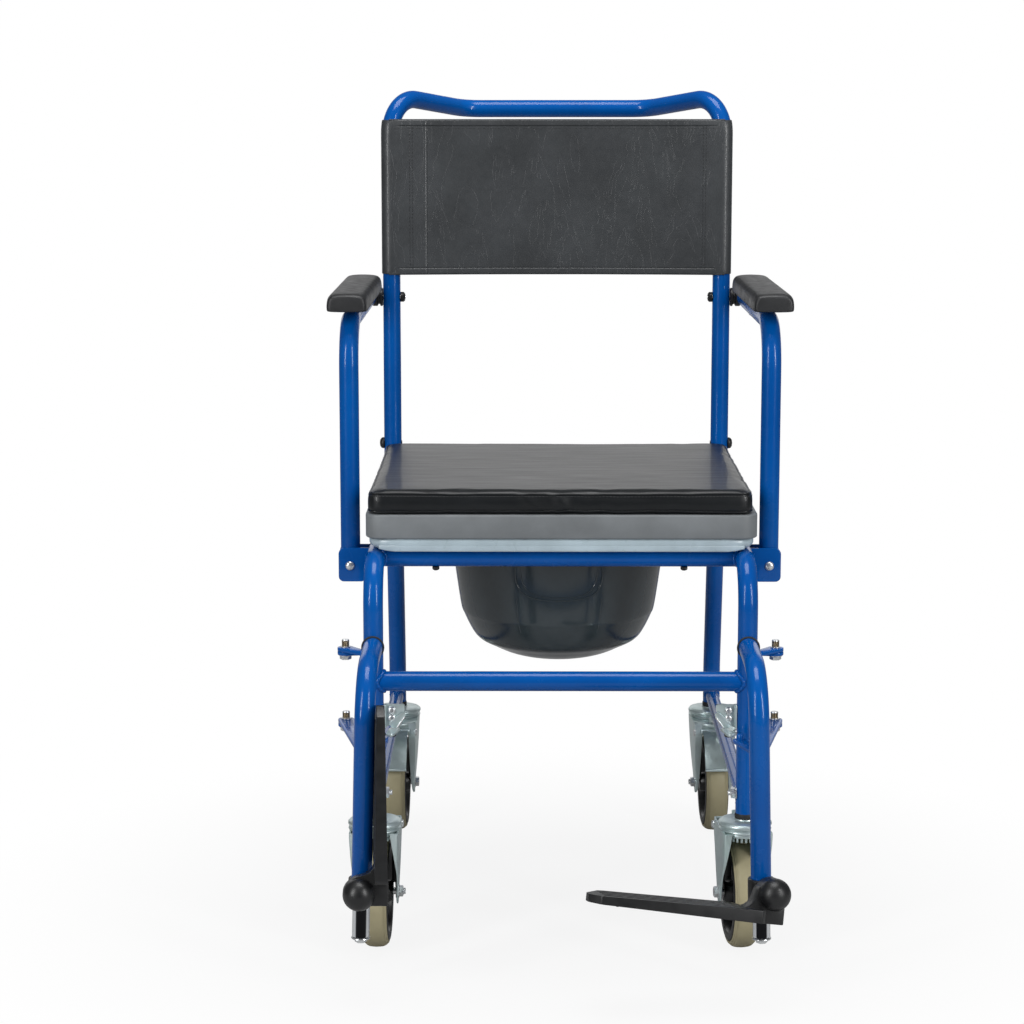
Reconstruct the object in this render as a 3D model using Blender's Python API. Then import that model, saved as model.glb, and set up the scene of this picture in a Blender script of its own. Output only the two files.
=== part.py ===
"""Commode wheelchair: folding footrests, swing-up armrests, four braked casters and a bucket under the seat.

Metres, +Z up. The user sits facing -Y. Heights are above the floor.
"""

import math

import bmesh
import bpy
from mathutils import Matrix, Vector

# Driving dimensions, in metres and degrees.
MIDDLE_Y = 0.0781          # moves the chair so that its length is centred on Y = 0
GAP = 0.0003               # clearance between pieces that touch
TUBE_R = 0.0111            # frame tube, 22.2 mm across
SIDE_X = 0.209             # tube centre of each side frame
FRONT_Y = -0.260           # front leg
REAR_Y = 0.280             # foot of the rear leg
BACK_Y = 0.200             # uprights of the back
RAIL_Z = 0.4475            # seat rails
LEG_END_Z = 0.160          # bottom ends of the four legs
BACK_TOP_Z = 0.964
CROSS_FRONT_Y = -0.198
CROSS_REAR_Y = 0.165
STRETCHER_Z = 0.317
LOWER_RAIL_Z = 0.176
SEAT_FRONT_Y = -0.225
SEAT_TOP_Z = 0.4717
SEAT_SHIFT = 0.0015         # the seat and its board lie this far right of the middle
SEAT_REAR_Y = 0.185
ARM_X = 0.2398
ARM_Y = -0.165
ARM_PIN_Z = 0.4335
ARM_TOP_Z = 0.710
STUD_Z = 0.711
BACK_BOLT_Z = 0.524
BUCKET_Y = -0.015
HINGE_X = 0.240
HINGE_Y = -0.262
HANGER_X = 0.2105          # footrest tube at its bend, from where it leans outwards
HANGER_Y = -0.385
HANGER_BEND_Z = 0.352
HANGER_END_Z = 0.1285
LEAN = 0.02594             # outward lean of the footrest tube, metres for each metre down
FLIP_X = 0.0040            # footplate pivot, outward of the stem
FLIP_Z = 0.1135
PITCH = 11.3               # how far the pivot and the footplate point up at the toes
WHEEL_R = 0.0635
TRAIL = 0.031
CASTERS = (                # name, side, Y of the stem, way the wheel trails, turn at rest
    ("front_right", 1, FRONT_Y, 0.0, 5.0),
    ("front_left", -1, FRONT_Y, 0.0, -1.0),
    ("rear_right", 1, REAR_Y, 180.0, 2.0),
    ("rear_left", -1, REAR_Y, 180.0, -1.0),
)
FEET = (                   # name, side, turn of the foot unit, turn of the plate about its pivot
    ("right", 1, 9.0, 9.1),
    ("left", -1, 4.8, 90.0),
)
SIDES = (("right", 1), ("left", -1))

BLUE = (0.0, 0.078, 0.376)
BLACK = (0.022, 0.024, 0.027)
VINYL = (0.030, 0.032, 0.035)
GREY = (0.17, 0.19, 0.20)
PALE = (0.42, 0.50, 0.55)
ZINC = (0.50, 0.56, 0.56)
CHROME = (0.75, 0.76, 0.78)
BUCKET = (0.040, 0.046, 0.050)
TYRE = (0.38, 0.34, 0.20)

for leftover in list(bpy.data.objects):
    bpy.data.objects.remove(leftover, do_unlink=True)

CHAIR = bpy.data.collections.new("commode_wheelchair")
CUTTERS = bpy.data.collections.new("cutters")
CUTTERS.hide_render = True
bpy.context.scene.collection.children.link(CHAIR)
bpy.context.scene.collection.children.link(CUTTERS)


def material(name, colour, metallic, roughness):
    made = bpy.data.materials.new(name)
    made.use_nodes = True
    shader = made.node_tree.nodes["Principled BSDF"]
    shader.inputs["Base Color"].default_value = (*colour, 1.0)
    shader.inputs["Metallic"].default_value = metallic
    shader.inputs["Roughness"].default_value = roughness
    made.diffuse_color = (*colour, 1.0)
    return made


def finish(obj, name, look):
    """Names a sub-part, gives it its own material and shades its round faces smooth."""
    obj.name = name
    obj.data.name = name
    obj.data.materials.clear()
    obj.data.materials.append(material(name, *look))
    obj.data.shade_smooth()
    obj.data.set_sharp_from_angle(angle=math.radians(35))
    return obj


def helper(obj):
    """Moves an object that only cuts or joins into the cutters' collection."""
    for collection in list(obj.users_collection):
        collection.objects.unlink(obj)
    CUTTERS.objects.link(obj)
    obj.hide_render = True
    obj.display_type = "WIRE"
    return obj


def combine(target, other, operation):
    helper(other)
    modifier = target.modifiers.new(operation.lower(), "BOOLEAN")
    modifier.solver = "EXACT"
    modifier.operation = operation
    modifier.object = other
    return target


def cut(target, other):
    return combine(target, other, "DIFFERENCE")


def join(target, other):
    return combine(target, other, "UNION")


def from_bmesh(shape, name="piece"):
    bmesh.ops.recalc_face_normals(shape, faces=shape.faces)
    mesh = bpy.data.meshes.new(name)
    shape.to_mesh(mesh)
    shape.free()
    obj = bpy.data.objects.new(name, mesh)
    CHAIR.objects.link(obj)
    return obj


def at(x, y, z):
    return Vector((x, y + MIDDLE_Y, z))


def toward(direction):
    return Vector(direction).to_track_quat("Z", "Y").to_matrix().to_4x4()


def rod(start, end, radius, sides=20):
    """A round bar between two points."""
    start = Vector(start)
    end = Vector(end)
    shape = bmesh.new()
    place = Matrix.Translation((start + end) / 2) @ toward(end - start)
    bmesh.ops.create_cone(
        shape, cap_ends=True, segments=sides, radius1=radius, radius2=radius,
        depth=(end - start).length, matrix=place,
    )
    return from_bmesh(shape)


def block(low, high, bevel=0.0, steps=1):
    """A box from corner to corner, with rounded edges."""
    low = Vector(low)
    high = Vector(high)
    shape = bmesh.new()
    size = high - low
    place = Matrix.Translation((low + high) / 2) @ Matrix.Diagonal((*size, 1.0))
    bmesh.ops.create_cube(shape, size=1.0, matrix=place)
    if bevel:
        bmesh.ops.bevel(shape, geom=shape.edges[:], offset=bevel, segments=steps, profile=0.5, affect="EDGES")
    return from_bmesh(shape)


def plate(outline, thickness, place, bevel=0.0):
    """A flat plate with this XY outline, its lower face on the placed XY plane."""
    shape = bmesh.new()
    corners = [shape.verts.new((x, y, 0.0)) for x, y in outline]
    face = shape.faces.new(corners)
    moved = bmesh.ops.extrude_face_region(shape, geom=[face])
    top = [item for item in moved["geom"] if isinstance(item, bmesh.types.BMVert)]
    bmesh.ops.translate(shape, verts=top, vec=(0.0, 0.0, thickness))
    if bevel:
        rims = [edge for edge in shape.edges if abs(edge.verts[0].co.z - edge.verts[1].co.z) < 1e-6]
        bmesh.ops.bevel(shape, geom=rims, offset=bevel, segments=2, profile=0.5, affect="EDGES")
    bmesh.ops.transform(shape, matrix=place, verts=shape.verts)
    return from_bmesh(shape)


def rounded(points, radii, steps=4):
    """A closed outline with its corners rounded."""
    outline = []
    count = len(points)
    for index, point in enumerate(points):
        here = Vector(point)
        before = Vector(points[index - 1])
        after = Vector(points[(index + 1) % count])
        radius = radii[index] if isinstance(radii, (list, tuple)) else radii
        outline += corner(before, here, after, radius, steps)
    return [tuple(point) for point in outline]


def corner(before, here, after, radius, steps):
    """Points of the arc that rounds one corner."""
    into = (here - before).normalized()
    out = (after - here).normalized()
    turn = into.angle(out)
    if radius <= 0.0 or turn < 1e-4:
        return [here]
    reach = radius * math.tan(turn / 2)
    start = here - into * reach
    inward = (out - into).normalized()
    centre = here + inward * (radius / math.cos(turn / 2))
    from_centre = start - centre
    other = here + out * reach - centre
    points = []
    for step in range(steps + 1):
        share = step / steps
        weight_a = math.sin((1 - share) * turn) / math.sin(turn)
        weight_b = math.sin(share * turn) / math.sin(turn)
        points.append(centre + from_centre * weight_a + other * weight_b)
    return points


def bent(points, radii, steps=4):
    """A tube's centre line: straight runs joined by bends."""
    points = [Vector(point) for point in points]
    line = [points[0]]
    for index in range(1, len(points) - 1):
        line += corner(points[index - 1], points[index], points[index + 1], radii[index - 1], steps)
    return line + [points[-1]]


def tube(line, radius=TUBE_R, resolution=4):
    """A round bar along a centre line."""
    curve = bpy.data.curves.new("line", "CURVE")
    curve.dimensions = "3D"
    curve.bevel_depth = radius
    curve.bevel_resolution = resolution
    curve.use_fill_caps = True
    spline = curve.splines.new("POLY")
    spline.points.add(len(line) - 1)
    for point, where in zip(spline.points, line):
        point.co = (*where, 1.0)
    guide = bpy.data.objects.new("line", curve)
    CHAIR.objects.link(guide)
    bpy.context.view_layer.update()
    graph = bpy.context.evaluated_depsgraph_get()
    mesh = bpy.data.meshes.new_from_object(guide.evaluated_get(graph))
    shape = bmesh.new()
    shape.from_mesh(mesh)
    bmesh.ops.remove_doubles(shape, verts=shape.verts, dist=0.00001)
    bpy.data.objects.remove(guide, do_unlink=True)
    bpy.data.meshes.remove(mesh)
    return from_bmesh(shape)


def turned(profile, place, steps=20):
    """A solid of revolution about the placed Z axis, from a closed (radius, height) profile."""
    shape = bmesh.new()
    points = [shape.verts.new((radius, 0.0, height)) for radius, height in profile]
    edges = [shape.edges.new((points[index - 1], points[index])) for index in range(len(points))]
    bmesh.ops.spin(
        shape, geom=points + edges, axis=(0, 0, 1), cent=(0, 0, 0), angle=math.tau, steps=steps,
        use_duplicate=False, use_merge=True,
    )
    bmesh.ops.remove_doubles(shape, verts=shape.verts, dist=0.00001)
    bmesh.ops.dissolve_degenerate(shape, dist=0.00001, edges=shape.edges)
    bmesh.ops.transform(shape, matrix=place, verts=shape.verts)
    return from_bmesh(shape)


def ball(centre, radius, place=Matrix.Identity(4)):
    shape = bmesh.new()
    bmesh.ops.create_uvsphere(
        shape, u_segments=16, v_segments=10, radius=radius, matrix=place @ Matrix.Translation(centre),
    )
    return from_bmesh(shape)


def origin_to(obj, point):
    """Puts the object's origin on its joint axis."""
    obj.data.transform(Matrix.Translation(-Vector(point)))
    obj.location = point
    return obj


def hull(circles, steps=8):
    """The outline that wraps round a row of circles: (x, y, radius)."""
    points = []
    for x, y, radius in circles:
        for step in range(steps * 2):
            turn = math.tau * step / (steps * 2)
            points.append((x + radius * math.cos(turn), y + radius * math.sin(turn)))
    points.sort()
    halves = []
    for ordered in (points, points[::-1]):
        side = []
        for point in ordered:
            while len(side) > 1 and turn_of(side[-2], side[-1], point) <= 1e-12:
                side.pop()
            side.append(point)
        halves += side[:-1]
    return halves


def turn_of(a, b, c):
    return (b[0] - a[0]) * (c[1] - a[1]) - (b[1] - a[1]) * (c[0] - a[0])


PAINT = (BLUE, 0.0, 0.28)
PLASTIC = (BLACK, 0.0, 0.45)
STEEL = (ZINC, 1.0, 0.32)
BRIGHT = (CHROME, 1.0, 0.15)


def side_frame(name, side):
    """Front leg, seat rail and rear leg in one bent tube, with the brackets welded to it."""
    x = side * SIDE_X
    line = bent(
        [
            at(x, FRONT_Y, LEG_END_Z),
            at(x, FRONT_Y, RAIL_Z),
            at(x, 0.225, RAIL_Z),
            at(x, REAR_Y, 0.215),
            at(x, REAR_Y, LEG_END_Z),
        ],
        [0.050, 0.050, 0.060],
    )
    frame = tube(line)
    join(frame, rod(at(x, BACK_Y, RAIL_Z), at(x, BACK_Y, 0.560), 0.009, 16))
    cut(frame, rod(at(x - 0.02, BACK_Y, BACK_BOLT_Z), at(x + 0.02, BACK_Y, BACK_BOLT_Z), 0.0033, 12))
    for start in (ARM_Y - 0.0144, ARM_Y + 0.0114):
        outline = rounded(
            [(0.213, 0.440), (0.222, 0.415), (0.2528, 0.415), (0.2528, 0.454), (0.213, 0.454)],
            [0.0, 0.004, 0.006, 0.006, 0.0], 3,
        )
        place = Matrix.Translation(at(0, start + 0.003, 0)) @ Matrix.Rotation(math.radians(90), 4, "X")
        ear = plate([(side * px, pz) for px, pz in outline], 0.003, place)
        cut(ear, rod(at(side * ARM_X, start - 0.01, ARM_PIN_Z), at(side * ARM_X, start + 0.01, ARM_PIN_Z), 0.0032, 12))
        join(frame, ear)
    for low in (0.348, 0.266):
        outline = hull([(side * HINGE_X, HINGE_Y + MIDDLE_Y, 0.009), (side * 0.213, FRONT_Y + MIDDLE_Y, 0.007)])
        lug = plate(outline, 0.004, Matrix.Translation((0, 0, low)))
        cut(lug, rod(at(side * HINGE_X, HINGE_Y, low - 0.01), at(side * HINGE_X, HINGE_Y, low + 0.01), 0.0043, 16))
        join(frame, lug)
    for y in (FRONT_Y, REAR_Y):
        cut(frame, rod(at(x, y, LEG_END_Z - 0.01), at(x, y, 0.204), 0.0060, 16))
    return finish(frame, "side_frame_" + name, PAINT)


def cross_tube(name, y, z, across_legs):
    """A tube between the side frames, its ends hollowed to sit against them."""
    bar = tube([at(-0.203, y, z), at(0.203, y, z)])
    for side in (-1, 1):
        x = side * SIDE_X
        if across_legs:
            saddle = rod(at(x, y, z - 0.03), at(x, y, z + 0.03), TUBE_R + GAP, 24)
        else:
            saddle = rod(at(x, y - 0.03, z), at(x, y + 0.03, z), TUBE_R + GAP, 24)
        cut(bar, saddle)
    return finish(bar, name, PAINT)


def lower_rail(name, side):
    """The rail between the front and the rear leg, near the floor."""
    x = side * SIDE_X
    rail = tube([at(x, FRONT_Y + 0.006, LOWER_RAIL_Z), at(x, REAR_Y - 0.006, LOWER_RAIL_Z)], 0.0085, 5)
    for y in (FRONT_Y, REAR_Y):
        cut(rail, rod(at(x, y, LOWER_RAIL_Z - 0.02), at(x, y, LOWER_RAIL_Z + 0.02), TUBE_R + GAP, 24))
    return finish(rail, "lower_rail_" + name, PAINT)


def back_line():
    """The back tube's centre line, up one side, across the push bar and down the other."""
    foot = RAIL_Z + TUBE_R + GAP
    return bent(
        [
            at(SIDE_X, BACK_Y, foot),
            at(SIDE_X, BACK_Y, BACK_TOP_Z),
            at(0.118, 0.310, 0.9465),
            at(-0.118, 0.310, 0.9465),
            at(-SIDE_X, BACK_Y, BACK_TOP_Z),
            at(-SIDE_X, BACK_Y, foot),
        ],
        [0.042, 0.045, 0.045, 0.042], 4,
    )


def back_frame():
    frame = tube(back_line())
    for side in (-1, 1):
        x = side * SIDE_X
        cut(frame, rod(at(x, BACK_Y, 0.440), at(x, BACK_Y, 0.565), 0.0093, 20))
        cut(frame, rod(at(x - 0.02, BACK_Y, BACK_BOLT_Z), at(x + 0.02, BACK_Y, BACK_BOLT_Z), 0.0033, 12))
        cut(frame, rod(at(x - 0.02, BACK_Y, STUD_Z), at(x + 0.02, BACK_Y, STUD_Z), 0.0038, 12))
    return finish(frame, "back_frame", PAINT)


def backrest_cover():
    """The vinyl panel, with a sleeve round each upright."""
    front = []
    rear = []
    for step in range(13):
        share = -1 + step / 6
        sag = 0.009 * (1 - share * share)
        front.append((share * 0.207, BACK_Y + MIDDLE_Y - 0.0045 + sag))
        rear.append((share * 0.207, BACK_Y + MIDDLE_Y + 0.0045 + sag))
    cover = plate(front + rear[::-1], 0.1929, Matrix.Translation((0, 0, 0.7405)))
    for side in (-1, 1):
        x = side * SIDE_X
        rise = 0.042
        start = BACK_TOP_Z - rise * math.tan(math.radians(48.5))
        way = Vector((-side * 91.0, 110.0, 0.0)).normalized()
        sleeve = [at(x, BACK_Y, 0.7405), at(x, BACK_Y, start)]
        for turn in (8.0, 16.0, 23.8):
            angle = math.radians(turn)
            out = rise * (1 - math.cos(angle))
            sleeve.append(at(x, BACK_Y, start + rise * math.sin(angle)) + way * out)
        join(cover, tube(sleeve, 0.0124))
    cut(cover, tube(back_line(), TUBE_R + GAP))
    return finish(cover, "backrest_cover", (VINYL, 0.0, 0.42))


def back_bolt(name, side):
    """The domed bolt through an upright and the peg inside it."""
    x = side * SIDE_X
    profile = [
        (0.0, -0.0170), (0.0062, -0.0170), (0.0066, -0.0150), (0.0066, -0.0116), (0.0030, -0.0116),
        (0.0030, 0.0116), (0.0070, 0.0116), (0.0068, 0.0140), (0.0045, 0.0163), (0.0, 0.0170),
    ]
    place = Matrix.Translation(at(x, BACK_Y, BACK_BOLT_Z)) @ toward((side, 0, 0))
    return finish(turned(profile, place, 12), "back_bolt_" + name, PLASTIC)


def commode_seat():
    """The pale seat, with the opening over the bucket."""
    low = RAIL_Z + TUBE_R + GAP
    left = SEAT_SHIFT - 0.2175
    right = SEAT_SHIFT + 0.2175
    front = SEAT_FRONT_Y + 0.003 + MIDDLE_Y
    rear = SEAT_REAR_Y + MIDDLE_Y
    outline = rounded([(left, front), (right, front), (right, rear), (left, rear)], [0.022, 0.022, 0.010, 0.010], 5)
    seat = plate(outline, SEAT_TOP_Z - low, Matrix.Translation((0, 0, low)), 0.004)
    join(seat, block(at(-0.188, SEAT_FRONT_Y + 0.0035, 0.4570), at(0.188, SEAT_FRONT_Y + 0.0145, 0.4615)))
    middle = BUCKET_Y + MIDDLE_Y
    hole = hull([(0.0, middle - 0.025, 0.092), (0.0, middle + 0.025, 0.092)], 12)
    cut(seat, plate(hole, 0.06, Matrix.Translation((0, 0, 0.440))))
    return finish(seat, "commode_seat", (PALE, 0.0, 0.35))


def seat_board():
    left = SEAT_SHIFT - 0.2212
    right = SEAT_SHIFT + 0.2212
    front = SEAT_FRONT_Y + MIDDLE_Y
    rear = SEAT_REAR_Y + MIDDLE_Y
    outline = rounded([(left, front), (right, front), (right, rear), (left, rear)], [0.020, 0.020, 0.010, 0.010], 4)
    board = plate(outline, 0.0276, Matrix.Translation((0, 0, SEAT_TOP_Z + GAP)), 0.002)
    return finish(board, "seat_board", (GREY, 0.0, 0.5))


def seat_cushion():
    half = 0.2180
    front = SEAT_FRONT_Y + MIDDLE_Y
    rear = SEAT_REAR_Y + MIDDLE_Y
    outline = rounded([(-half, front), (half, front), (half, rear), (-half, rear)], [0.018, 0.018, 0.012, 0.012], 4)
    cushion = plate(outline, 0.0271, Matrix.Translation((0, 0, 0.4999)), 0.005)
    return finish(cushion, "seat_cushion", (VINYL, 0.0, 0.4))


BUCKET_WALL = ((0.1250, 0.414), (0.1172, 0.361), (0.1131, 0.348), (0.1035, 0.3285), (0.0952, 0.3185),
               (0.0822, 0.3116), (0.0624, 0.3025), (0.0385, 0.2965), (0.0, 0.2900))


def bucket():
    """The pan, hung by its rim from the two rails."""
    place = Matrix.Translation(at(0, BUCKET_Y, 0))
    outside = [(0.0, 0.4310), (0.1268, 0.4310)] + list(BUCKET_WALL)
    pan = turned(outside, place, 24)
    half = 0.135
    middle = BUCKET_Y + MIDDLE_Y
    rim = rounded(
        [(-half, middle - half), (half, middle - half), (half, middle + half), (-half, middle + half)], 0.040, 5,
    )
    join(pan, plate(rim, 0.003, Matrix.Translation((0, 0, 0.428))))
    inside = [(0.0, 0.4410), (0.1245, 0.4410), (0.1238, 0.4300)]
    inside += [(radius - 0.0028, height + 0.0022) for radius, height in BUCKET_WALL[:-1]]
    inside.append((0.0, 0.2925))
    cut(pan, turned(inside, place, 24))
    return finish(pan, "bucket", (BUCKET, 0.0, 0.18))


def bucket_rail(name, side):
    """A slotted rail under the seat's two cross tubes."""
    low = at(min(side * 0.128, side * 0.143), -0.217, 0.4230)
    high = at(max(side * 0.128, side * 0.143), 0.177, RAIL_Z - TUBE_R - GAP)
    rail = block(low, high)
    low = at(min(side * 0.120, side * 0.1356), -0.230, 0.4276)
    high = at(max(side * 0.120, side * 0.1356), 0.190, 0.4315)
    cut(rail, block(low, high))
    low = at(min(side * 0.120, side * 0.150), -0.230, 0.4100)
    high = at(max(side * 0.120, side * 0.150), -0.125, 0.4315)
    cut(rail, block(low, high))
    return finish(rail, "bucket_rail_" + name, PLASTIC)


def arm_pin(name, side):
    """The bolt that an armrest turns on."""
    profile = [
        (0.0, -0.0178), (0.0042, -0.0178), (0.0052, -0.0162), (0.0052, -0.0147), (0.0029, -0.0147),
        (0.0029, 0.0147), (0.0055, 0.0147), (0.0055, 0.0185), (0.0, 0.0185),
    ]
    place = Matrix.Translation(at(side * ARM_X, ARM_Y, ARM_PIN_Z)) @ toward((0, 1, 0))
    return finish(turned(profile, place, 12), "arm_pin_" + name, STEEL)


def arm_tube(name, side):
    x = side * ARM_X
    line = bent([at(x, ARM_Y, 0.416), at(x, ARM_Y, ARM_TOP_Z), at(x, 0.208, ARM_TOP_Z)], [0.050], 5)
    arm = tube(line)
    join(arm, rod(at(x, ARM_Y, 0.414), at(x, ARM_Y, 0.418), 0.009, 16))
    cut(arm, rod(at(x, ARM_Y - 0.02, ARM_PIN_Z), at(x, ARM_Y + 0.02, ARM_PIN_Z), 0.0032, 12))
    return origin_to(finish(arm, "arm_tube_" + name, PAINT), at(x, ARM_Y, ARM_PIN_Z))


def arm_pad(name, side):
    middle = side * 0.2415
    half = 0.0235
    front = -0.173 + MIDDLE_Y
    rear = 0.150 + MIDDLE_Y
    outline = rounded(
        [(middle - half, front), (middle + half, front), (middle + half, rear), (middle - half, rear)],
        [0.010, 0.010, 0.008, 0.008], 3,
    )
    pad = plate(outline, 0.0225, Matrix.Translation((0, 0, 0.7215)), 0.004)
    return origin_to(finish(pad, "arm_pad_" + name, PLASTIC), at(side * ARM_X, ARM_Y, ARM_PIN_Z))


def arm_stud(name, side):
    """The stud across an upright that an armrest snaps onto."""
    profile = [
        (0.0, -0.0176), (0.0025, -0.0176), (0.0063, -0.0160), (0.0063, -0.0116), (0.0035, -0.0116),
        (0.0035, 0.0170), (0.0025, 0.0180), (0.0, 0.0180),
    ]
    place = Matrix.Translation(at(side * SIDE_X, BACK_Y, STUD_Z)) @ toward((side, 0, 0))
    return finish(turned(profile, place, 12), "arm_stud_" + name, PLASTIC)


def arm_clip(name, side):
    """The ring on an armrest that takes the stud, shaped to sit against the arm tube."""
    profile = [
        (0.0039, 0.0114), (0.0117, 0.0114), (0.0117, 0.0144), (0.0090, 0.0154), (0.0090, 0.0170),
        (0.0117, 0.0180), (0.0117, 0.0240), (0.0039, 0.0240),
    ]
    place = Matrix.Translation(at(side * SIDE_X, BACK_Y, STUD_Z)) @ toward((side, 0, 0))
    clip = turned(profile, place, 16)
    x = side * ARM_X
    cut(clip, rod(at(x, BACK_Y - 0.03, ARM_TOP_Z), at(x, BACK_Y + 0.03, ARM_TOP_Z), TUBE_R + GAP, 24))
    return origin_to(finish(clip, "arm_clip_" + name, PLASTIC), at(x, ARM_Y, ARM_PIN_Z))


def hinge_bolt(name, side, low):
    """The upright bolt of one footrest hinge: nut below, round head above."""
    profile = [
        (0.0, -0.0055), (0.0066, -0.0055), (0.0066, -0.0003), (0.0040, -0.0003), (0.0040, 0.0086),
        (0.0060, 0.0086), (0.0060, 0.0130), (0.0042, 0.0136), (0.0042, 0.0172), (0.0, 0.0172),
    ]
    place = Matrix.Translation(at(side * HINGE_X, HINGE_Y, low))
    return finish(turned(profile, place, 12), name, STEEL)


def hanger_at(side, z):
    """The middle of the leaning footrest tube at this height."""
    return at(side * (HANGER_X + LEAN * (HANGER_BEND_Z - z)), HANGER_Y, z)


def hanger(name, side):
    """The swing-away footrest tube, with its two hinge lugs and the catch for the latch."""
    line = bent(
        [at(side * SIDE_X, -0.2725, 0.358), hanger_at(side, HANGER_BEND_Z), hanger_at(side, HANGER_END_Z)],
        [0.060], 5,
    )
    arm = tube(line)
    pin = at(side * HINGE_X, HINGE_Y, 0)
    upper = hull([(pin.x, pin.y, 0.009), (side * 0.219, -0.284 + MIDDLE_Y, 0.006)])
    spot = hanger_at(side, 0.2703)
    lower = hull([(pin.x, pin.y, 0.009), (spot.x + side * 0.002, spot.y, 0.008)])
    for outline, low in ((upper, 0.3523), (lower, 0.2703)):
        lug = plate(outline, 0.004, Matrix.Translation((0, 0, low)))
        cut(lug, rod((pin.x, pin.y, low - 0.01), (pin.x, pin.y, low + 0.02), 0.0043, 16))
        join(arm, lug)
    near = (side * 0.2132, -0.379 + MIDDLE_Y, 0.0055)
    middle = (side * 0.2125, -0.345 + MIDDLE_Y, 0.006)
    far = (side * 0.199, -0.297 + MIDDLE_Y, 0.008)
    for ends in ((near, middle), (middle, far)):
        join(arm, plate(hull(ends), 0.004, Matrix.Translation((0, 0, 0.2555))))
    join(arm, rod(at(side * 0.199, -0.297, 0.2570), at(side * 0.199, -0.297, 0.2660), 0.004, 12))
    cut(arm, rod(hanger_at(side, HANGER_END_Z - 0.01), hanger_at(side, 0.262), 0.0098, 20))
    return origin_to(finish(arm, "hanger_" + name, PAINT), at(side * HINGE_X, HINGE_Y, 0.3523))


def latch_bracket(name, side):
    """The plate on a front leg's inner side that carries the latch lever."""
    low = at(min(side * 0.1745, side * 0.1973), -0.2640, 0.2640)
    high = at(max(side * 0.1745, side * 0.1973), -0.2560, 0.2910)
    bracket = block(low, high, 0.0012)
    for z in (0.2720, 0.2840):
        join(bracket, rod(at(side * 0.190, -0.2690, z), at(side * 0.190, -0.2600, z), 0.0052, 6))
    return finish(bracket, "latch_bracket_" + name, STEEL)


def latch_lever(name, side):
    """The lever under the latch bracket, with its round grip."""
    outline = hull([(side * 0.182, -0.2600 + MIDDLE_Y, 0.007), (side * 0.190, -0.2840 + MIDDLE_Y, 0.006)])
    lever = plate(outline, 0.0035, Matrix.Translation((0, 0, 0.2600)))
    join(lever, rod(at(side * 0.1815, -0.2610, 0.2500), at(side * 0.1815, -0.2610, 0.2620), 0.0052, 16))
    return origin_to(finish(lever, "latch_lever_" + name, STEEL), at(side * 0.182, -0.260, 0.2600))


def foot_place(side, turn):
    """The foot unit's place: along the leaning footrest tube and turned about it."""
    lean = Matrix.Rotation(-side * math.atan(LEAN), 4, "Y")
    return Matrix.Translation(hanger_at(side, 0)) @ lean @ Matrix.Rotation(math.radians(turn), 4, "Z")


def foot_pivot(side, turn):
    """The footplate's pivot, with the toe end pointing up."""
    pitch = Matrix.Rotation(math.radians(-PITCH), 4, "X")
    return foot_place(side, turn) @ Matrix.Translation((side * FLIP_X, 0, FLIP_Z)) @ pitch


def foot_stem(name, side, turn):
    """The bright inner tube that sets the footplate's height, with a bolt in its lower end."""
    profile = [
        (0.0, 0.0555), (0.0065, 0.0555), (0.0065, 0.0610), (0.0085, 0.0610), (0.0095, 0.0625),
        (0.0095, 0.2290), (0.0085, 0.2300), (0.0, 0.2300),
    ]
    stem = turned(profile, foot_place(side, turn), 20)
    return origin_to(finish(stem, "foot_stem_" + name, BRIGHT), hanger_at(side, 0.110))


def foot_hub(name, side, turn):
    """The collar clamped on the stem, with the pin that the footplate turns on."""
    place = foot_place(side, turn)
    profile = [(0.0098, 0.1020), (0.0135, 0.1020), (0.0145, 0.1030), (0.0145, 0.1270), (0.0135, 0.1280), (0.0098, 0.1280)]
    hub = turned(profile, place, 20)
    pivot = foot_pivot(side, turn)
    join(hub, rod(pivot @ Vector((0, -0.0118, 0)), pivot @ Vector((0, -0.0560, 0)), 0.0040, 16))
    return origin_to(finish(hub, "foot_hub_" + name, PLASTIC), hanger_at(side, 0.110))


def footplate(name, side, turn, flip):
    """The plate under one foot, with the round boss that turns on the hub's pin."""
    pivot = foot_pivot(side, turn)
    place = pivot @ Matrix.Rotation(math.radians(side * flip), 4, "Y")
    boss = rod(place @ Vector((0, -0.020, 0)), place @ Vector((0, -0.047, 0)), 0.0170, 20)
    join(boss, ball((0, -0.045, 0), 0.0175, place))
    outline = [
        (-0.194, -0.020), (-0.184, 0.000), (-0.177, 0.004), (-0.038, 0.004), (-0.033, 0.000), (-0.030, -0.018),
        (0.012, -0.021), (0.012, -0.047), (-0.012, -0.047), (-0.014, -0.066), (-0.190, -0.066), (-0.202, -0.052),
        (-0.202, -0.036),
    ]
    tread = plate([(side * px, py) for px, py in outline], 0.014, place @ Matrix.Translation((0, 0, -0.030)))
    under = [(-0.21, -0.0245), (-0.060, -0.0305), (-0.060, -0.05), (-0.21, -0.05)]
    stand = place @ Matrix.Translation((0, 0.04, 0)) @ Matrix.Rotation(math.radians(90), 4, "X")
    cut(tread, plate([(side * px, pz) for px, pz in under], 0.13, stand))
    join(boss, tread)
    web = [(0.012, -0.022), (0.012, -0.0315), (-0.0115, -0.0315), (-0.036, -0.025), (-0.036, -0.0165),
           (-0.028, -0.0140), (-0.0205, -0.0075), (-0.0165, 0.0020), (0.0, 0.0040), (0.012, -0.008)]
    stand = place @ Matrix.Translation((0, -0.022, 0)) @ Matrix.Rotation(math.radians(90), 4, "X")
    join(boss, plate([(side * px, pz) for px, pz in web], 0.024, stand))
    cut(boss, rod(place @ Vector((0, -0.010, 0)), place @ Vector((0, -0.0575, 0)), 0.0043, 20))
    return origin_to(finish(boss, "footplate_" + name, PLASTIC), pivot.translation)


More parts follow.
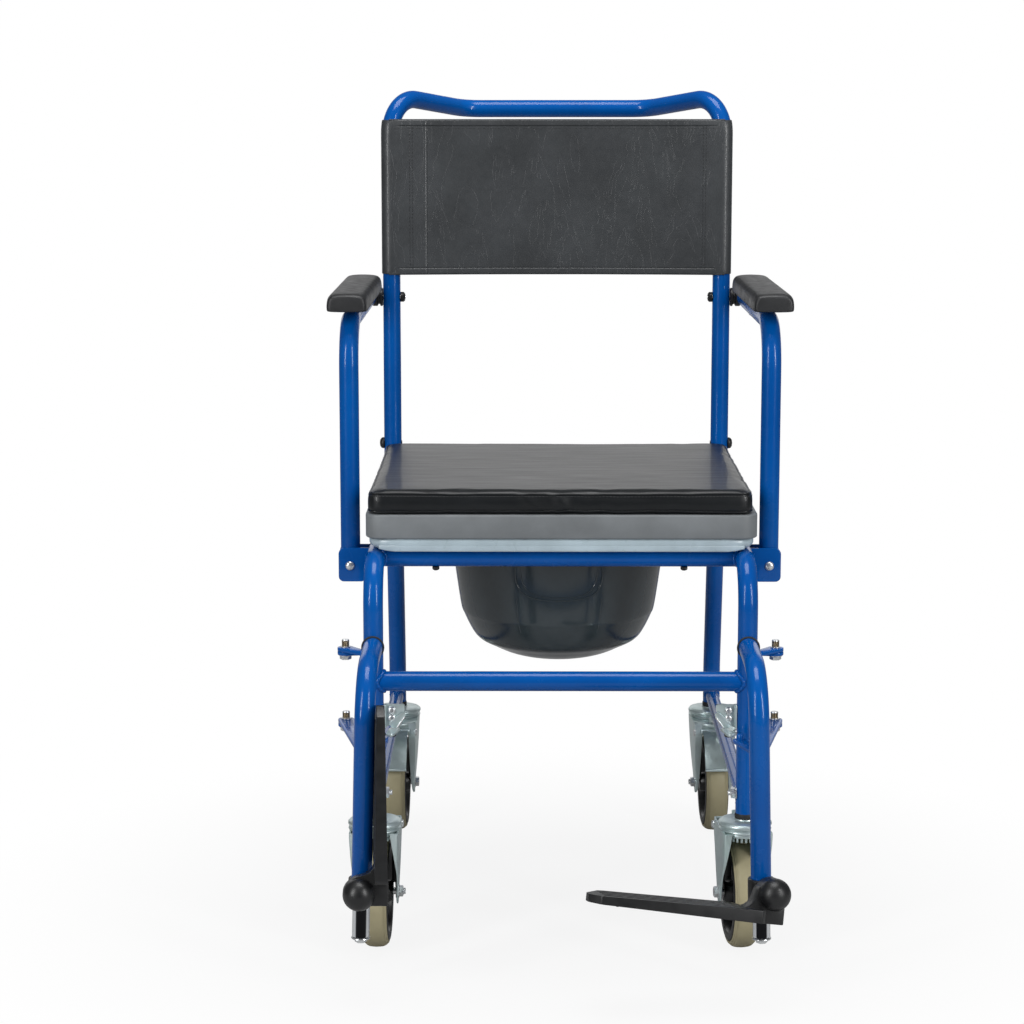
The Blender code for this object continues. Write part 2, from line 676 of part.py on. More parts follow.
def caster_place(side, y, way, turn):
    return Matrix.Translation(at(side * SIDE_X, y, 0)) @ Matrix.Rotation(math.radians(way + turn), 4, "Z")


def caster_fork(name, side, y, way, turn):
    """Stem, head and the two cheeks, with the axle between them."""
    place = caster_place(side, y, way, turn)
    head = [
        (0.0, 0.2030), (0.0057, 0.2030), (0.0057, 0.1595), (0.0105, 0.1580), (0.0260, 0.1580), (0.0300, 0.1555),
        (0.0300, 0.1480), (0.0280, 0.1450), (0.0, 0.1450),
    ]
    fork = turned(head, place, 20)
    crown = [(-0.0205, -0.023), (0.0205, -0.023), (0.0205, 0.0585), (-0.0205, 0.0585)]
    join(fork, plate(crown, 0.0040, place @ Matrix.Translation((0, 0, 0.1422))))
    cheek = [(-0.024, 0.1455), (-0.024, 0.128), (0.020, 0.060), (0.026, 0.0535), (0.036, 0.0535), (0.042, 0.060),
             (0.050, 0.105), (0.062, 0.130), (0.060, 0.1455)]
    for start in (-0.0215, 0.0190):
        stand = place @ Matrix(((0, 0, 1, start), (1, 0, 0, 0), (0, 1, 0, 0), (0, 0, 0, 1)))
        join(fork, plate(cheek, 0.0025, stand))
    axle = [
        (0.0, -0.0275), (0.0070, -0.0275), (0.0070, -0.0210), (0.0040, -0.0210), (0.0040, 0.0210),
        (0.0070, 0.0210), (0.0070, 0.0275), (0.0, 0.0275),
    ]
    join(fork, turned(axle, place @ Matrix.Translation((0, TRAIL, WHEEL_R)) @ toward((1, 0, 0)), 12))
    return origin_to(finish(fork, "caster_fork_" + name, STEEL), at(side * SIDE_X, y, 0.145))


def wheel_place(side, y, way, turn):
    return caster_place(side, y, way, turn) @ Matrix.Translation((0, TRAIL, WHEEL_R)) @ toward((1, 0, 0))


def caster_wheel(name, side, y, way, turn):
    """Hub, web and rim."""
    place = wheel_place(side, y, way, turn)
    profile = [
        (0.0043, -0.0180), (0.0140, -0.0180), (0.0150, -0.0060), (0.0430, -0.0060), (0.0450, -0.0130),
        (0.0500, -0.0130), (0.0500, 0.0130), (0.0450, 0.0130), (0.0430, 0.0060), (0.0150, 0.0060),
        (0.0140, 0.0180), (0.0043, 0.0180),
    ]
    return origin_to(finish(turned(profile, place, 24), "caster_wheel_" + name, PLASTIC), place.translation)


def caster_tyre(name, side, y, way, turn):
    place = wheel_place(side, y, way, turn)
    profile = [
        (0.0503, -0.0135), (0.0550, -0.0145), (0.0610, -0.0120), (0.0635, -0.0050),
        (0.0635, 0.0050), (0.0610, 0.0120), (0.0550, 0.0145), (0.0503, 0.0135),
    ]
    return origin_to(finish(turned(profile, place, 24), "caster_tyre_" + name, (TYRE, 0.0, 0.6)), place.translation)


def caster_pedal(name, side, y, way, turn):
    """The brake pedal behind a wheel, on a pin between the cheeks."""
    place = caster_place(side, y, way, turn)
    pin = place @ Matrix.Translation((0, 0.055, 0.1365))
    sheet = [(0.052, 0.1335), (0.058, 0.1400), (0.078, 0.1270), (0.097, 0.0960), (0.094, 0.0945), (0.074, 0.1240)]
    stand = place @ Matrix(((0, 0, 1, -0.0165), (1, 0, 0, 0), (0, 1, 0, 0), (0, 0, 0, 1)))
    pedal = plate(sheet, 0.0330, stand)
    join(pedal, rod(pin @ Vector((-0.0187, 0, 0)), pin @ Vector((0.0187, 0, 0)), 0.0045, 14))
    return origin_to(finish(pedal, "caster_pedal_" + name, STEEL), pin.translation)


def build():
    for name, side in SIDES:
        side_frame(name, side)
        lower_rail(name, side)
        bucket_rail(name, side)
        back_bolt(name, side)
        arm_pin(name, side)
        arm_stud(name, side)
        arm_tube(name, side)
        arm_pad(name, side)
        arm_clip(name, side)
        hinge_bolt("hinge_bolt_upper_" + name, side, 0.348)
        hinge_bolt("hinge_bolt_lower_" + name, side, 0.266)
        latch_bracket(name, side)
        latch_lever(name, side)
        hanger(name, side)
    cross_tube("seat_crossbar_front", CROSS_FRONT_Y, RAIL_Z, False)
    cross_tube("seat_crossbar_rear", CROSS_REAR_Y, RAIL_Z, False)
    cross_tube("stretcher_front", FRONT_Y, STRETCHER_Z, True)
    back_frame()
    backrest_cover()
    commode_seat()
    seat_board()
    seat_cushion()
    bucket()
    for name, side, turn, flip in FEET:
        foot_stem(name, side, turn)
        foot_hub(name, side, turn)
        footplate(name, side, turn, flip)
    for caster in CASTERS:
        caster_fork(*caster)
        caster_wheel(*caster)
        caster_tyre(*caster)
        caster_pedal(*caster)


build()
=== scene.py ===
"""Looks of the commode wheelchair: every surface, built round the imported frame.

Metres, +Z up. The user sits facing -Y. Places along Y are the chair's own, and at() moves them
by MIDDLE_Y to the frame's zero.
"""

import math

import bmesh
import bpy
from mathutils import Matrix, Vector, noise
from mathutils.bvhtree import BVHTree

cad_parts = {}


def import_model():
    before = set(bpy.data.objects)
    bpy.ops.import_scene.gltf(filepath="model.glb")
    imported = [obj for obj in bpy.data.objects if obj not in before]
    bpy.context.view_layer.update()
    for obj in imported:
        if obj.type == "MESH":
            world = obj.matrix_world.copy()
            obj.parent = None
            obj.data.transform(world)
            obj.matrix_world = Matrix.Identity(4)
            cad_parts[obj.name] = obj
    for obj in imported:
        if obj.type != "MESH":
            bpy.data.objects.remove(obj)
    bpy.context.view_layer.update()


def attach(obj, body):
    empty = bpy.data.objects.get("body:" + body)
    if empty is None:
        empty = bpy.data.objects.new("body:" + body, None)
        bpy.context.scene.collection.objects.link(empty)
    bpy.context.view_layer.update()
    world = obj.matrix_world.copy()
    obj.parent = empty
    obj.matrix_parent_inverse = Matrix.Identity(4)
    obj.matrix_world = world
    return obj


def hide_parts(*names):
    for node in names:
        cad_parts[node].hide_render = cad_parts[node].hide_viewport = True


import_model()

# Places and sizes of the chair, the same values as the solids have.
MIDDLE_Y = 0.0781
TUBE_R = 0.0111
WELD_R = TUBE_R + 0.0008       # how far from a tube's axis a bead is laid
SIDE_X = 0.209
FRONT_Y = -0.260
REAR_Y = 0.280
BACK_Y = 0.200
RAIL_Z = 0.4475
LEG_END_Z = 0.160
LEG_BOLT_Z = 0.1885
BACK_TOP_Z = 0.964
BACK_FOOT_Z = 0.4589
CROSS_FRONT_Y = -0.198
CROSS_REAR_Y = 0.165
STRETCHER_Z = 0.317
LOWER_RAIL_Z = 0.176
LOWER_RAIL_R = 0.0085
SEAT_FRONT_Y = -0.225
SEAT_REAR_Y = 0.185
SEAT_TOP_Z = 0.4717
SEAT_SHIFT = 0.0015
BOARD_TOP_Z = 0.4996
CUSHION_LOW = 0.4999
CUSHION_HIGH = 0.5270
CUSHION_HALF = 0.2176
ARM_X = 0.2398
ARM_Y = -0.165
ARM_END_Y = 0.208
ARM_FOOT_Z = 0.416
ARM_PIN_Z = 0.4335
ARM_TOP_Z = 0.710
STUD_Z = 0.711
BACK_BOLT_Z = 0.524
BUCKET_Y = -0.015
HINGE_X = 0.240
HINGE_Y = -0.262
HINGE_LEVELS = (("upper", 0.348), ("lower", 0.266))
HANGER_X = 0.2105
HANGER_Y = -0.385
HANGER_BEND_Z = 0.352
HANGER_END_Z = 0.1285
LEAN = 0.02594
FLIP_X = 0.0040
FLIP_Z = 0.1135
PITCH = 11.3
WHEEL_R = 0.0635
TRAIL = 0.031
PEDAL_AXIS = (0.0, 0.055, 0.1365)      # in its castor, where the brake pedal turns
COVER_LOW_Z = 0.7405
COVER_HIGH_Z = 0.9334
COVER_HEIGHT = COVER_HIGH_Z - COVER_LOW_Z
COVER_WRAP = 0.0121
COVER_HALF = SIDE_X - 0.002
COVER_FRONT_Y = BACK_Y + MIDDLE_Y - COVER_WRAP + 0.0004
BACK_SAG = 0.0118
BACK_BEND_R = 0.042
CASTERS = (                # name, side, Y, way it trails, angle off straight
    ("front_right", 1, FRONT_Y, 0.0, 5.0),
    ("front_left", -1, FRONT_Y, 0.0, -1.0),
    ("rear_right", 1, REAR_Y, 180.0, 2.0),
    ("rear_left", -1, REAR_Y, 180.0, -1.0),
)
FEET = (("right", 1, 9.0, 9.1), ("left", -1, 4.8, 90.0))       # name, side, turn of the stem, flip of the plate
SIDES = (("right", 1), ("left", -1))
FACE_X = Matrix(((0, 0, 1, 0), (1, 0, 0, 0), (0, 1, 0, 0), (0, 0, 0, 1)))     # an outline's X and Y become Y and Z
UPRIGHT = Matrix.Rotation(math.radians(90), 4, "X")                           # an outline's Y becomes Z
OVER = Matrix.Rotation(math.pi, 4, "X")                                       # upside down


# ---------------------------------------------------------------- materials
def node(tree, kind, inputs=None, **settings):
    """A new node. An input that is given a socket is linked, any other gets its value."""
    made = tree.nodes.new(kind)
    for key, value in settings.items():
        setattr(made, key, value)
    for key, value in (inputs or {}).items():
        if isinstance(value, bpy.types.NodeSocket):
            tree.links.new(value, made.inputs[key])
        else:
            made.inputs[key].default_value = value
    return made


class Look:
    """A procedural material, put together from patches of colour, roughness and relief."""

    def __init__(self, name, metallic=0.0, coat=0.0, specular=0.5):
        self.material = bpy.data.materials.new(name)
        self.material.use_nodes = True
        self.tree = self.material.node_tree
        self.shader = self.tree.nodes["Principled BSDF"]
        for key, value in (
            ("Metallic", metallic), ("Coat Weight", coat), ("Coat Roughness", 0.08), ("Specular IOR Level", specular),
        ):
            self.shader.inputs[key].default_value = value
        self.coords = self.node("ShaderNodeTexCoord").outputs["Object"]
        self.relief = None

    def node(self, kind, inputs=None, **settings):
        return node(self.tree, kind, inputs, **settings)

    def shade(self, source, name):
        self.tree.links.new(source, self.shader.inputs[name])

    def noise(self, scale, detail=3.0, stretch=None, distortion=0.0):
        vector = self.coords
        if stretch:
            vector = self.node("ShaderNodeMapping", {"Scale": stretch, "Vector": vector}).outputs["Vector"]
        return self.node("ShaderNodeTexNoise", {
            "Scale": scale, "Detail": detail, "Distortion": distortion, "Vector": vector,
        }).outputs["Fac"]

    def cells(self, scale, wobble):
        ripple = self.node("ShaderNodeTexNoise", {"Scale": scale * 1.3, "Detail": 3.0, "Vector": self.coords})
        mix = self.node(
            "ShaderNodeMix", {"Factor": wobble, 4: self.coords, 5: ripple.outputs["Color"]}, data_type="VECTOR",
        )
        return self.node("ShaderNodeTexVoronoi", {"Scale": scale, "Vector": mix.outputs[1]}).outputs["Distance"]

    def ramp(self, source, stops):
        made = self.node("ShaderNodeValToRGB", {"Fac": source})
        line = made.color_ramp
        while len(line.elements) < len(stops):
            line.elements.new(0.5)
        for element, (place, colour) in zip(line.elements, stops):
            element.position = place
            element.color = (*colour, 1.0)
        return made.outputs["Color"]

    def colour(self, source, stops):
        self.shade(self.ramp(source, stops), "Base Color")

    def roughness(self, source, low, high):
        self.shade(self.node("ShaderNodeMapRange", {
            "From Min": 0.3, "From Max": 0.7, "To Min": low, "To Max": high, "Value": source,
        }).outputs["Result"], "Roughness")

    def bump(self, source, distance, strength):
        inputs = {"Strength": strength, "Distance": distance, "Height": source}
        if self.relief is not None:
            inputs["Normal"] = self.relief
        self.relief = self.node("ShaderNodeBump", inputs).outputs["Normal"]
        self.shade(self.relief, "Normal")


def darker(light, share):
    return tuple(part * share for part in light)


def powder_blue():
    look = Look("blue_paint", coat=0.30, specular=0.12)
    look.colour(look.noise(9.0, 3.0), [(0.35, (0.000, 0.068, 0.300)), (0.65, (0.000, 0.084, 0.350))])
    look.roughness(look.noise(60.0, 4.0), 0.20, 0.30)
    look.bump(look.noise(900.0, 2.0), 0.00006, 0.6)
    return look.material


def vinyl(name, light, creases, stretch=None, shine=0.45):
    """Grained upholstery vinyl; creases sets how strongly it is wrinkled."""
    look = Look(name, coat=0.12, specular=shine)
    look.colour(look.noise(14.0, 5.0), [(0.35, darker(light, 0.72)), (0.65, light)])
    look.roughness(look.noise(120.0, 5.0, stretch), 0.36, 0.46)
    look.bump(look.cells(1100.0, 0.001), 0.00012, 0.45)
    look.bump(look.noise(30.0, 6.0, stretch, 1.4), 0.0011, 0.34 * creases)
    squiggle = look.noise(26.0, 2.0, (1.0, 1.0, 0.34), 2.2)
    line = look.ramp(squiggle, [(0.478, (0, 0, 0)), (0.486, (1, 1, 1)), (0.494, (0, 0, 0))])
    look.bump(line, 0.0003, 0.45 * creases)
    return look.material


def moulded(name, light, low, high, grain=700.0, depth=0.00008):
    """Moulded plastic, cloudy in colour and shine, with a fine grain."""
    look = Look(name)
    look.colour(look.noise(22.0, 4.0), [(0.3, darker(light, 0.75)), (0.7, light)])
    look.roughness(look.noise(90.0, 4.0), low, high)
    look.bump(look.noise(grain, 3.0), depth, 0.7)
    return look.material


def plated(name, light, low, high, tint=(1.0, 1.0, 1.0), metallic=1.0):
    """Zinc or steel, with faint streaks and cloudy colour."""
    look = Look(name, metallic=metallic)
    warm = tuple(part * shade for part, shade in zip(light, tint))
    look.colour(look.noise(35.0, 5.0), [(0.25, darker(light, 0.88)), (0.5, light), (0.75, warm)])
    look.roughness(look.noise(160.0, 5.0), low, high)
    look.bump(look.noise(500.0, 4.0), 0.00003, 0.4)
    return look.material


def polished(name):
    """Bright chrome with its reflection painted into the colour: dark where it faces the viewer, light strips at the
    sides.
    """
    look = Look(name, metallic=1.0)
    # painted reflection: the colour runs from dark where the surface faces the viewer to light strips towards its edges
    painted_reflection_strips = look.ramp(look.node("ShaderNodeLayerWeight", {"Blend": 0.5}).outputs["Facing"], [
        (0.0, (0.015, 0.015, 0.017)), (0.22, (0.020, 0.021, 0.023)), (0.30, (0.75, 0.77, 0.79)),
        (0.72, (0.85, 0.87, 0.89)), (0.84, (0.16, 0.17, 0.18)), (1.0, (0.40, 0.42, 0.44)),
    ])
    cloud = look.ramp(look.noise(35.0, 5.0), [(0.3, (0.90, 0.91, 0.92)), (0.7, (1.0, 1.0, 1.0))])
    mix = look.node("ShaderNodeMix", {"Factor": 1.0, 6: painted_reflection_strips, 7: cloud}, data_type="RGBA", blend_type="MULTIPLY")
    look.shade(mix.outputs[2], "Base Color")
    look.roughness(look.noise(160.0, 5.0), 0.05, 0.10)
    look.bump(look.noise(500.0, 4.0), 0.00003, 0.4)
    return look.material


BLUE = powder_blue()
VINYL = vinyl("black_vinyl", (0.0050, 0.0065, 0.0080), 0.10, (0.12, 1.8, 1.8), 0.29)
BACK_VINYL = vinyl("back_vinyl", (0.040, 0.044, 0.048), 1.0)
THREAD = moulded("thread", (0.035, 0.037, 0.040), 0.6, 0.8, 1500.0)
FOAM_SKIN = moulded("pad_skin", (0.014, 0.015, 0.017), 0.40, 0.54, 1300.0, 0.00030)
PLASTIC = moulded("black_plastic", (0.0075, 0.0080, 0.0090), 0.33, 0.46, 1100.0, 0.00007)
RIM_BLACK = moulded("rim_plastic", (0.0040, 0.0042, 0.0046), 0.28, 0.42)
BOARD = moulded("board_grey", (0.175, 0.190, 0.200), 0.48, 0.62, 800.0, 0.0001)
PALE = moulded("seat_pale", (0.435, 0.535, 0.590), 0.25, 0.36, 300.0, 0.00002)
PAN = moulded("bucket_dark", (0.034, 0.046, 0.053), 0.12, 0.20, 120.0, 0.00005)
TYRE = moulded("tyre_khaki", (0.375, 0.335, 0.205), 0.52, 0.70, 900.0, 0.00010)
RUBBER = moulded("black_rubber", (0.012, 0.012, 0.013), 0.5, 0.65)
ZINC = plated("zinc", (0.560, 0.660, 0.665), 0.30, 0.42, (0.95, 1.0, 0.97), 0.72)
STEEL = plated("bolt_steel", (0.700, 0.720, 0.730), 0.24, 0.36, metallic=0.85)
BRASS = plated("dark_thread", (0.330, 0.270, 0.180), 0.30, 0.42)
CHROME = polished("chrome")


# ---------------------------------------------------------------- shapes
def at(x, y, z):
    return Vector((x, y + MIDDLE_Y, z))


def moved(x=0.0, y=0.0, z=0.0):
    return Matrix.Translation((x, y, z))


def toward(direction):
    return Vector(direction).to_track_quat("Z", "Y").to_matrix().to_4x4()


def spot(x, y, z):
    return Matrix.Translation(at(x, y, z))


def aimed(x, y, z, direction):
    """Where a shape stands whose own Z axis starts at this place and points this way."""
    return spot(x, y, z) @ toward(direction)


def circle(radius, steps):
    return [(radius * math.cos(math.tau * s / steps), radius * math.sin(math.tau * s / steps)) for s in range(steps)]


def corner(before, here, after, radius, steps):
    into = (here - before).normalized()
    out = (after - here).normalized()
    turn = into.angle(out)
    if radius <= 0.0 or turn < 1e-4:
        return [here]
    reach = radius * math.tan(turn / 2)
    centre = here + (out - into).normalized() * (radius / math.cos(turn / 2))
    first = here - into * reach - centre
    last = here + out * reach - centre
    shares = [step / steps for step in range(steps + 1)]
    return [centre + (first * math.sin((1 - s) * turn) + last * math.sin(s * turn)) / math.sin(turn) for s in shares]


def bent(points, radii, steps=14):
    """A line through the points, with its inner corners rounded."""
    points = [Vector(point) for point in points]
    line = [points[0]]
    for before, here, after, radius in zip(points, points[1:], points[2:], radii):
        line += corner(before, here, after, radius, steps)
    return line + [points[-1]]


def rounded(points, radii, steps=6):
    """A closed flat outline with every corner rounded."""
    points = [Vector(point) for point in points]
    outline = []
    for index, point in enumerate(points):
        outline += corner(points[index - 1], point, points[(index + 1) % len(points)], radii[index], steps)
    return [tuple(point) for point in outline]


def evenly(points, spacing, closed=True):
    """Points at an even spacing along a line."""
    line = [Vector(point) for point in points]
    if closed:
        line.append(line[0])
    lengths = [(b - a).length for a, b in zip(line, line[1:])]
    total = sum(lengths)
    count = max(2, round(total / spacing))
    result = []
    index = 0
    passed = 0.0
    for step in range(count):
        goal = total * step / count
        while passed + lengths[index] < goal:
            passed += lengths[index]
            index += 1
        share = (goal - passed) / max(lengths[index], 1e-9)
        result.append(line[index].lerp(line[index + 1], share))
    return result


def smooth_line(points, count):
    """A smooth line through a few points."""
    result = []
    last = len(points) - 1
    for step in range(count + 1):
        place = step / count * last
        index = min(int(place), last - 1)
        share = place - index
        p0 = points[max(index - 1, 0)]
        p1 = points[index]
        p2 = points[index + 1]
        p3 = points[min(index + 2, last)]
        result.append(0.5 * (
            2 * p1 + (p2 - p0) * share + (2 * p0 - 5 * p1 + 4 * p2 - p3) * share ** 2
            + (3 * p1 - p0 - 3 * p2 + p3) * share ** 3
        ))
    return result


def along_rays(outline, centre, angles):
    """Where rays from the centre cross a convex outline, one point for each angle."""
    points = []
    for angle in angles:
        ray_x = math.cos(angle)
        ray_y = math.sin(angle)
        reach = 0.0
        for (ax, ay), (bx, by) in zip(outline, outline[1:] + outline[:1]):
            slope = ray_x * (by - ay) - ray_y * (bx - ax)
            if abs(slope) < 1e-12:
                continue
            far = ((ax - centre[0]) * (by - ay) - (ay - centre[1]) * (bx - ax)) / slope
            share = ((ax - centre[0]) * ray_y - (ay - centre[1]) * ray_x) / slope
            if far > 0 and -1e-6 <= share <= 1 + 1e-6:
                reach = max(reach, far)
        points.append((centre[0] + reach * ray_x, centre[1] + reach * ray_y))
    return points


def even_outline(outline, count):
    """The same outline, as evenly turned points about its middle."""
    middle = [(min(values) + max(values)) / 2 for values in zip(*outline)]
    return along_rays(outline, middle, [math.tau * step / count for step in range(count)])


def hull(circles, steps=12):
    """The tight outline round a few circles."""
    points = sorted((x + px, y + py) for x, y, radius in circles for px, py in circle(radius, steps * 2))
    outline = []
    for ordered in (points, points[::-1]):
        side = []
        for point in ordered:
            while len(side) > 1 and (
                (side[-1][0] - side[-2][0]) * (point[1] - side[-2][1])
                - (side[-1][1] - side[-2][1]) * (point[0] - side[-2][0])
            ) <= 1e-12:
                side.pop()
            side.append(point)
        outline += side[:-1]
    return outline


def join_rings(shape, rings, around=True):
    """Faces from each ring to the next. A ring of one point is a pole."""
    for one, two in zip(rings, rings[1:]):
        count = max(len(one), len(two))
        for step in range(count if around else count - 1):
            after = (step + 1) % count
            corners = dict.fromkeys((
                one[step % len(one)], one[after % len(one)], two[after % len(two)], two[step % len(two)],
            ))
            if len(corners) > 2:
                shape.faces.new(tuple(corners))


def merge(whole, shape):
    mesh = bpy.data.meshes.new("part")
    shape.to_mesh(mesh)
    shape.free()
    whole.from_mesh(mesh)
    bpy.data.meshes.remove(mesh)


def sweep(line, radius=TUBE_R, sides=36, closed=False):
    """A tube along a line. A list of radii changes its thickness from point to point."""
    shape = bmesh.new()
    count = len(line)
    radii = radius if isinstance(radius, (list, tuple)) else [radius] * count
    rings = []
    normal = None
    for index, point in enumerate(line):
        before = line[index - 1] if index or closed else point
        after = line[(index + 1) % count] if index < count - 1 or closed else point
        way = (after - before).normalized()
        if normal is None:
            normal = way.orthogonal().normalized()
        normal = (normal - way * normal.dot(way)).normalized()
        across = way.cross(normal)
        turns = [math.tau * side / sides for side in range(sides)]
        rings.append([
            shape.verts.new(point + (normal * math.cos(turn) + across * math.sin(turn)) * radii[index])
            for turn in turns
        ])
    join_rings(shape, rings + (rings[:1] if closed else []))
    if not closed:
        shape.faces.new(rings[0][::-1])
        shape.faces.new(rings[-1])
    return shape


def turned(profile, place, steps=48):
    """A solid of revolution about the placed Z axis."""
    shape = bmesh.new()
    rings = []
    for radius, height in profile:
        spread = [(0.0, 0.0)] if radius < 1e-7 else circle(radius, steps)
        rings.append([shape.verts.new(place @ Vector((x, y, height))) for x, y in spread])
    ends_open = len(rings[0]) > 1 and len(rings[-1]) > 1
    join_rings(shape, rings + (rings[:1] if ends_open else []))
    return shape


def disc(place, radius, low, high, steps=28):
    return turned([(0, low), (radius, low), (radius, high), (0, high)], place, steps)


def rod(start, end, radius):
    start = Vector(start)
    way = Vector(end) - start
    return disc(Matrix.Translation(start) @ toward(way), radius, 0, way.length)


def plate(outline, thickness, place, bevel=0.0, steps=2):
    """A flat plate with this outline, from the placed XY plane upwards."""
    shape = bmesh.new()
    face = shape.faces.new([shape.verts.new((x, y, 0.0)) for x, y in outline])
    extruded = bmesh.ops.extrude_face_region(shape, geom=[face])
    top = [item for item in extruded["geom"] if isinstance(item, bmesh.types.BMVert)]
    bmesh.ops.translate(shape, verts=top, vec=(0.0, 0.0, thickness))
    if bevel:
        rims = [edge for edge in shape.edges if abs(edge.verts[0].co.z - edge.verts[1].co.z) < 1e-6]
        bmesh.ops.bevel(shape, geom=rims, offset=bevel, segments=steps, profile=0.5, affect="EDGES")
    bmesh.ops.transform(shape, matrix=place, verts=shape.verts)
    return shape


def block(low, high, bevel=0.0006, steps=2, place=Matrix.Identity(4)):
    """A box between two corners, which may be given in any order, with its edges broken."""
    pairs = [sorted(pair) for pair in zip(low, high)]
    low, high = (Vector(ends) for ends in zip(*pairs))
    shape = bmesh.new()
    size = Matrix.Diagonal((*(high - low), 1.0))
    bmesh.ops.create_cube(shape, size=1.0, matrix=Matrix.Translation((low + high) / 2) @ size)
    bmesh.ops.bevel(shape, geom=shape.edges[:], offset=bevel, segments=steps, profile=0.5, affect="EDGES")
    bmesh.ops.transform(shape, matrix=place, verts=shape.verts)
    return shape


def hexagon(place, radius, height):
    """A bolt head or nut standing on the placed XY plane."""
    return plate(circle(radius, 6), height, place, 0.0006, 1)


def thread(place, radius, low, high, pitch=0.00125):
    """A threaded stretch of a bolt."""
    profile = [(0, low)]
    height = low
    while height < high:
        profile += [(radius, height), (radius * 0.88, height + pitch / 2)]
        height += pitch
    return turned(profile + [(radius * 0.88, high), (0, high)], place, 24)


def weld(points, radius=0.0022):
    """A welded bead along a closed line, with its ripples."""
    radii = [radius * (1.0 + 0.16 * math.sin(index * 1.9)) for index in range(len(points))]
    return sweep(points, radii, 10, True)


def weld_on_tube(centre, along, across, radius, onto):
    """The bead where a round tube meets another of radius onto at right angles."""
    along = Vector(along).normalized()
    across = Vector(across).normalized()
    third = along.cross(across)
    points = []
    for ahead, side in circle(radius, 56):
        depth = math.sqrt(max(onto * onto - side * side, 1e-9))
        points.append(Vector(centre) + along * depth + across * ahead + third * side)
    return weld(points)


def place_object(name, data):
    obj = bpy.data.objects.new(name, data)
    bpy.context.scene.collection.objects.link(obj)
    return obj


def subdivide(obj, levels):
    smooth = obj.modifiers.new("smooth", "SUBSURF")
    smooth.levels = levels
    smooth.render_levels = levels


def piece(name, body, parts, replaces=(), angle=38.0):
    """One object from several shapes, each with its own material."""
    mesh = bpy.data.meshes.new(name)
    whole = bmesh.new()
    looks = []
    for shape, look in parts:
        bmesh.ops.recalc_face_normals(shape, faces=shape.faces)
        if look not in looks:
            looks.append(look)
        for face in shape.faces:
            face.material_index = looks.index(look)
        merge(whole, shape)
    whole.to_mesh(mesh)
    whole.free()
    for look in looks:
        mesh.materials.append(look)
    mesh.shade_smooth()
    mesh.set_sharp_from_angle(angle=math.radians(angle))
    obj = place_object(name, mesh)
    if replaces:
        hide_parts(*replaces)
    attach(obj, body)
    return obj


# ---------------------------------------------------------------- frame
def side_frame(name, side):
    """The bent side tube with the back's stub, the armrest's ears, the hinge lugs and the end caps."""
    x = side * SIDE_X
    corners = (
        (FRONT_Y, LEG_END_Z), (FRONT_Y, RAIL_Z), (0.225, RAIL_Z), (REAR_Y, 0.215), (REAR_Y, LEG_END_Z),
    )
    parts = [
        (sweep(bent([at(x, y, z) for y, z in corners], [0.050, 0.050, 0.060])), BLUE),
        (rod(at(x, BACK_Y, RAIL_Z), at(x, BACK_Y, 0.560), 0.009), ZINC),
        (weld_on_tube(at(x, BACK_Y, RAIL_Z), (0, 0, 1), (0, 1, 0), 0.0100, TUBE_R), BLUE),
    ]
    ear = rounded(
        [(0.213, 0.441), (0.2195, 0.4185), (0.226, 0.4150), (0.2528, 0.4150), (0.2528, 0.454), (0.213, 0.454)],
        [0.0, 0.003, 0.004, 0.006, 0.007, 0.0],
    )
    for start in (ARM_Y - 0.0144, ARM_Y + 0.0114):
        stand = spot(0, start + 0.003, 0) @ UPRIGHT
        parts.append((plate([(side * px, pz) for px, pz in ear], 0.003, stand, 0.0006), BLUE))
        bead = [
            at(side * px, start + 0.0015 + 0.0024 * way, pz)
            for px, pz, way in ((0.2195, 0.4375, -1), (0.2195, 0.4375, 1), (0.2215, 0.4475, 1), (0.2215, 0.4475, -1))
        ]
        parts.append((weld(bead, 0.0016), BLUE))
    lug = hull([(side * HINGE_X, HINGE_Y + MIDDLE_Y, 0.009), (side * 0.213, FRONT_Y + MIDDLE_Y, 0.007)])
    for _, low in HINGE_LEVELS:
        parts.append((plate(lug, 0.004, moved(z=low), 0.0006), BLUE))
        for turn in (math.radians(-38), math.radians(38)):
            foot = at(x + side * (TUBE_R + 0.0004) * math.cos(turn), FRONT_Y + TUBE_R * math.sin(turn), low)
            parts.append((sweep([foot, foot + Vector((0, 0, 0.004))], 0.0017, 10), BLUE))
    cap = [(0.0065, 0.0), (0.0110, 0.0), (0.0118, 0.0015), (0.0118, 0.0055), (0.0112, 0.0070), (0.0065, 0.0070)]
    for y in (FRONT_Y, REAR_Y):
        parts.append((turned(cap, spot(x, y, LEG_END_Z - 0.0012), 36), RUBBER))
    piece("side_tube_" + name, "chassis", parts, ["side_frame_" + name])


def leg_bolts(name, side):
    """Bolts that hold the caster stems, with their nuts on the inner side of each leg."""
    parts = []
    dome = [(0, 0), (0.0064, 0), (0.0060, 0.0020), (0.0035, 0.0034), (0, 0.0038)]
    for y in (FRONT_Y, REAR_Y):
        inner = aimed(side * (SIDE_X - TUBE_R + 0.0008), y, LEG_BOLT_Z, (-side, 0, 0))
        outer = aimed(side * (SIDE_X + TUBE_R - 0.0008), y, LEG_BOLT_Z, (side, 0, 0))
        parts += [
            (disc(inner, 0.0080, 0, 0.0012), STEEL), (hexagon(inner @ moved(z=0.0012), 0.0064, 0.0050), STEEL),
            (thread(inner, 0.0029, 0.0060, 0.0095), STEEL), (turned(dome, outer, 28), STEEL),
        ]
    piece("leg_bolts_" + name, "chassis", parts)


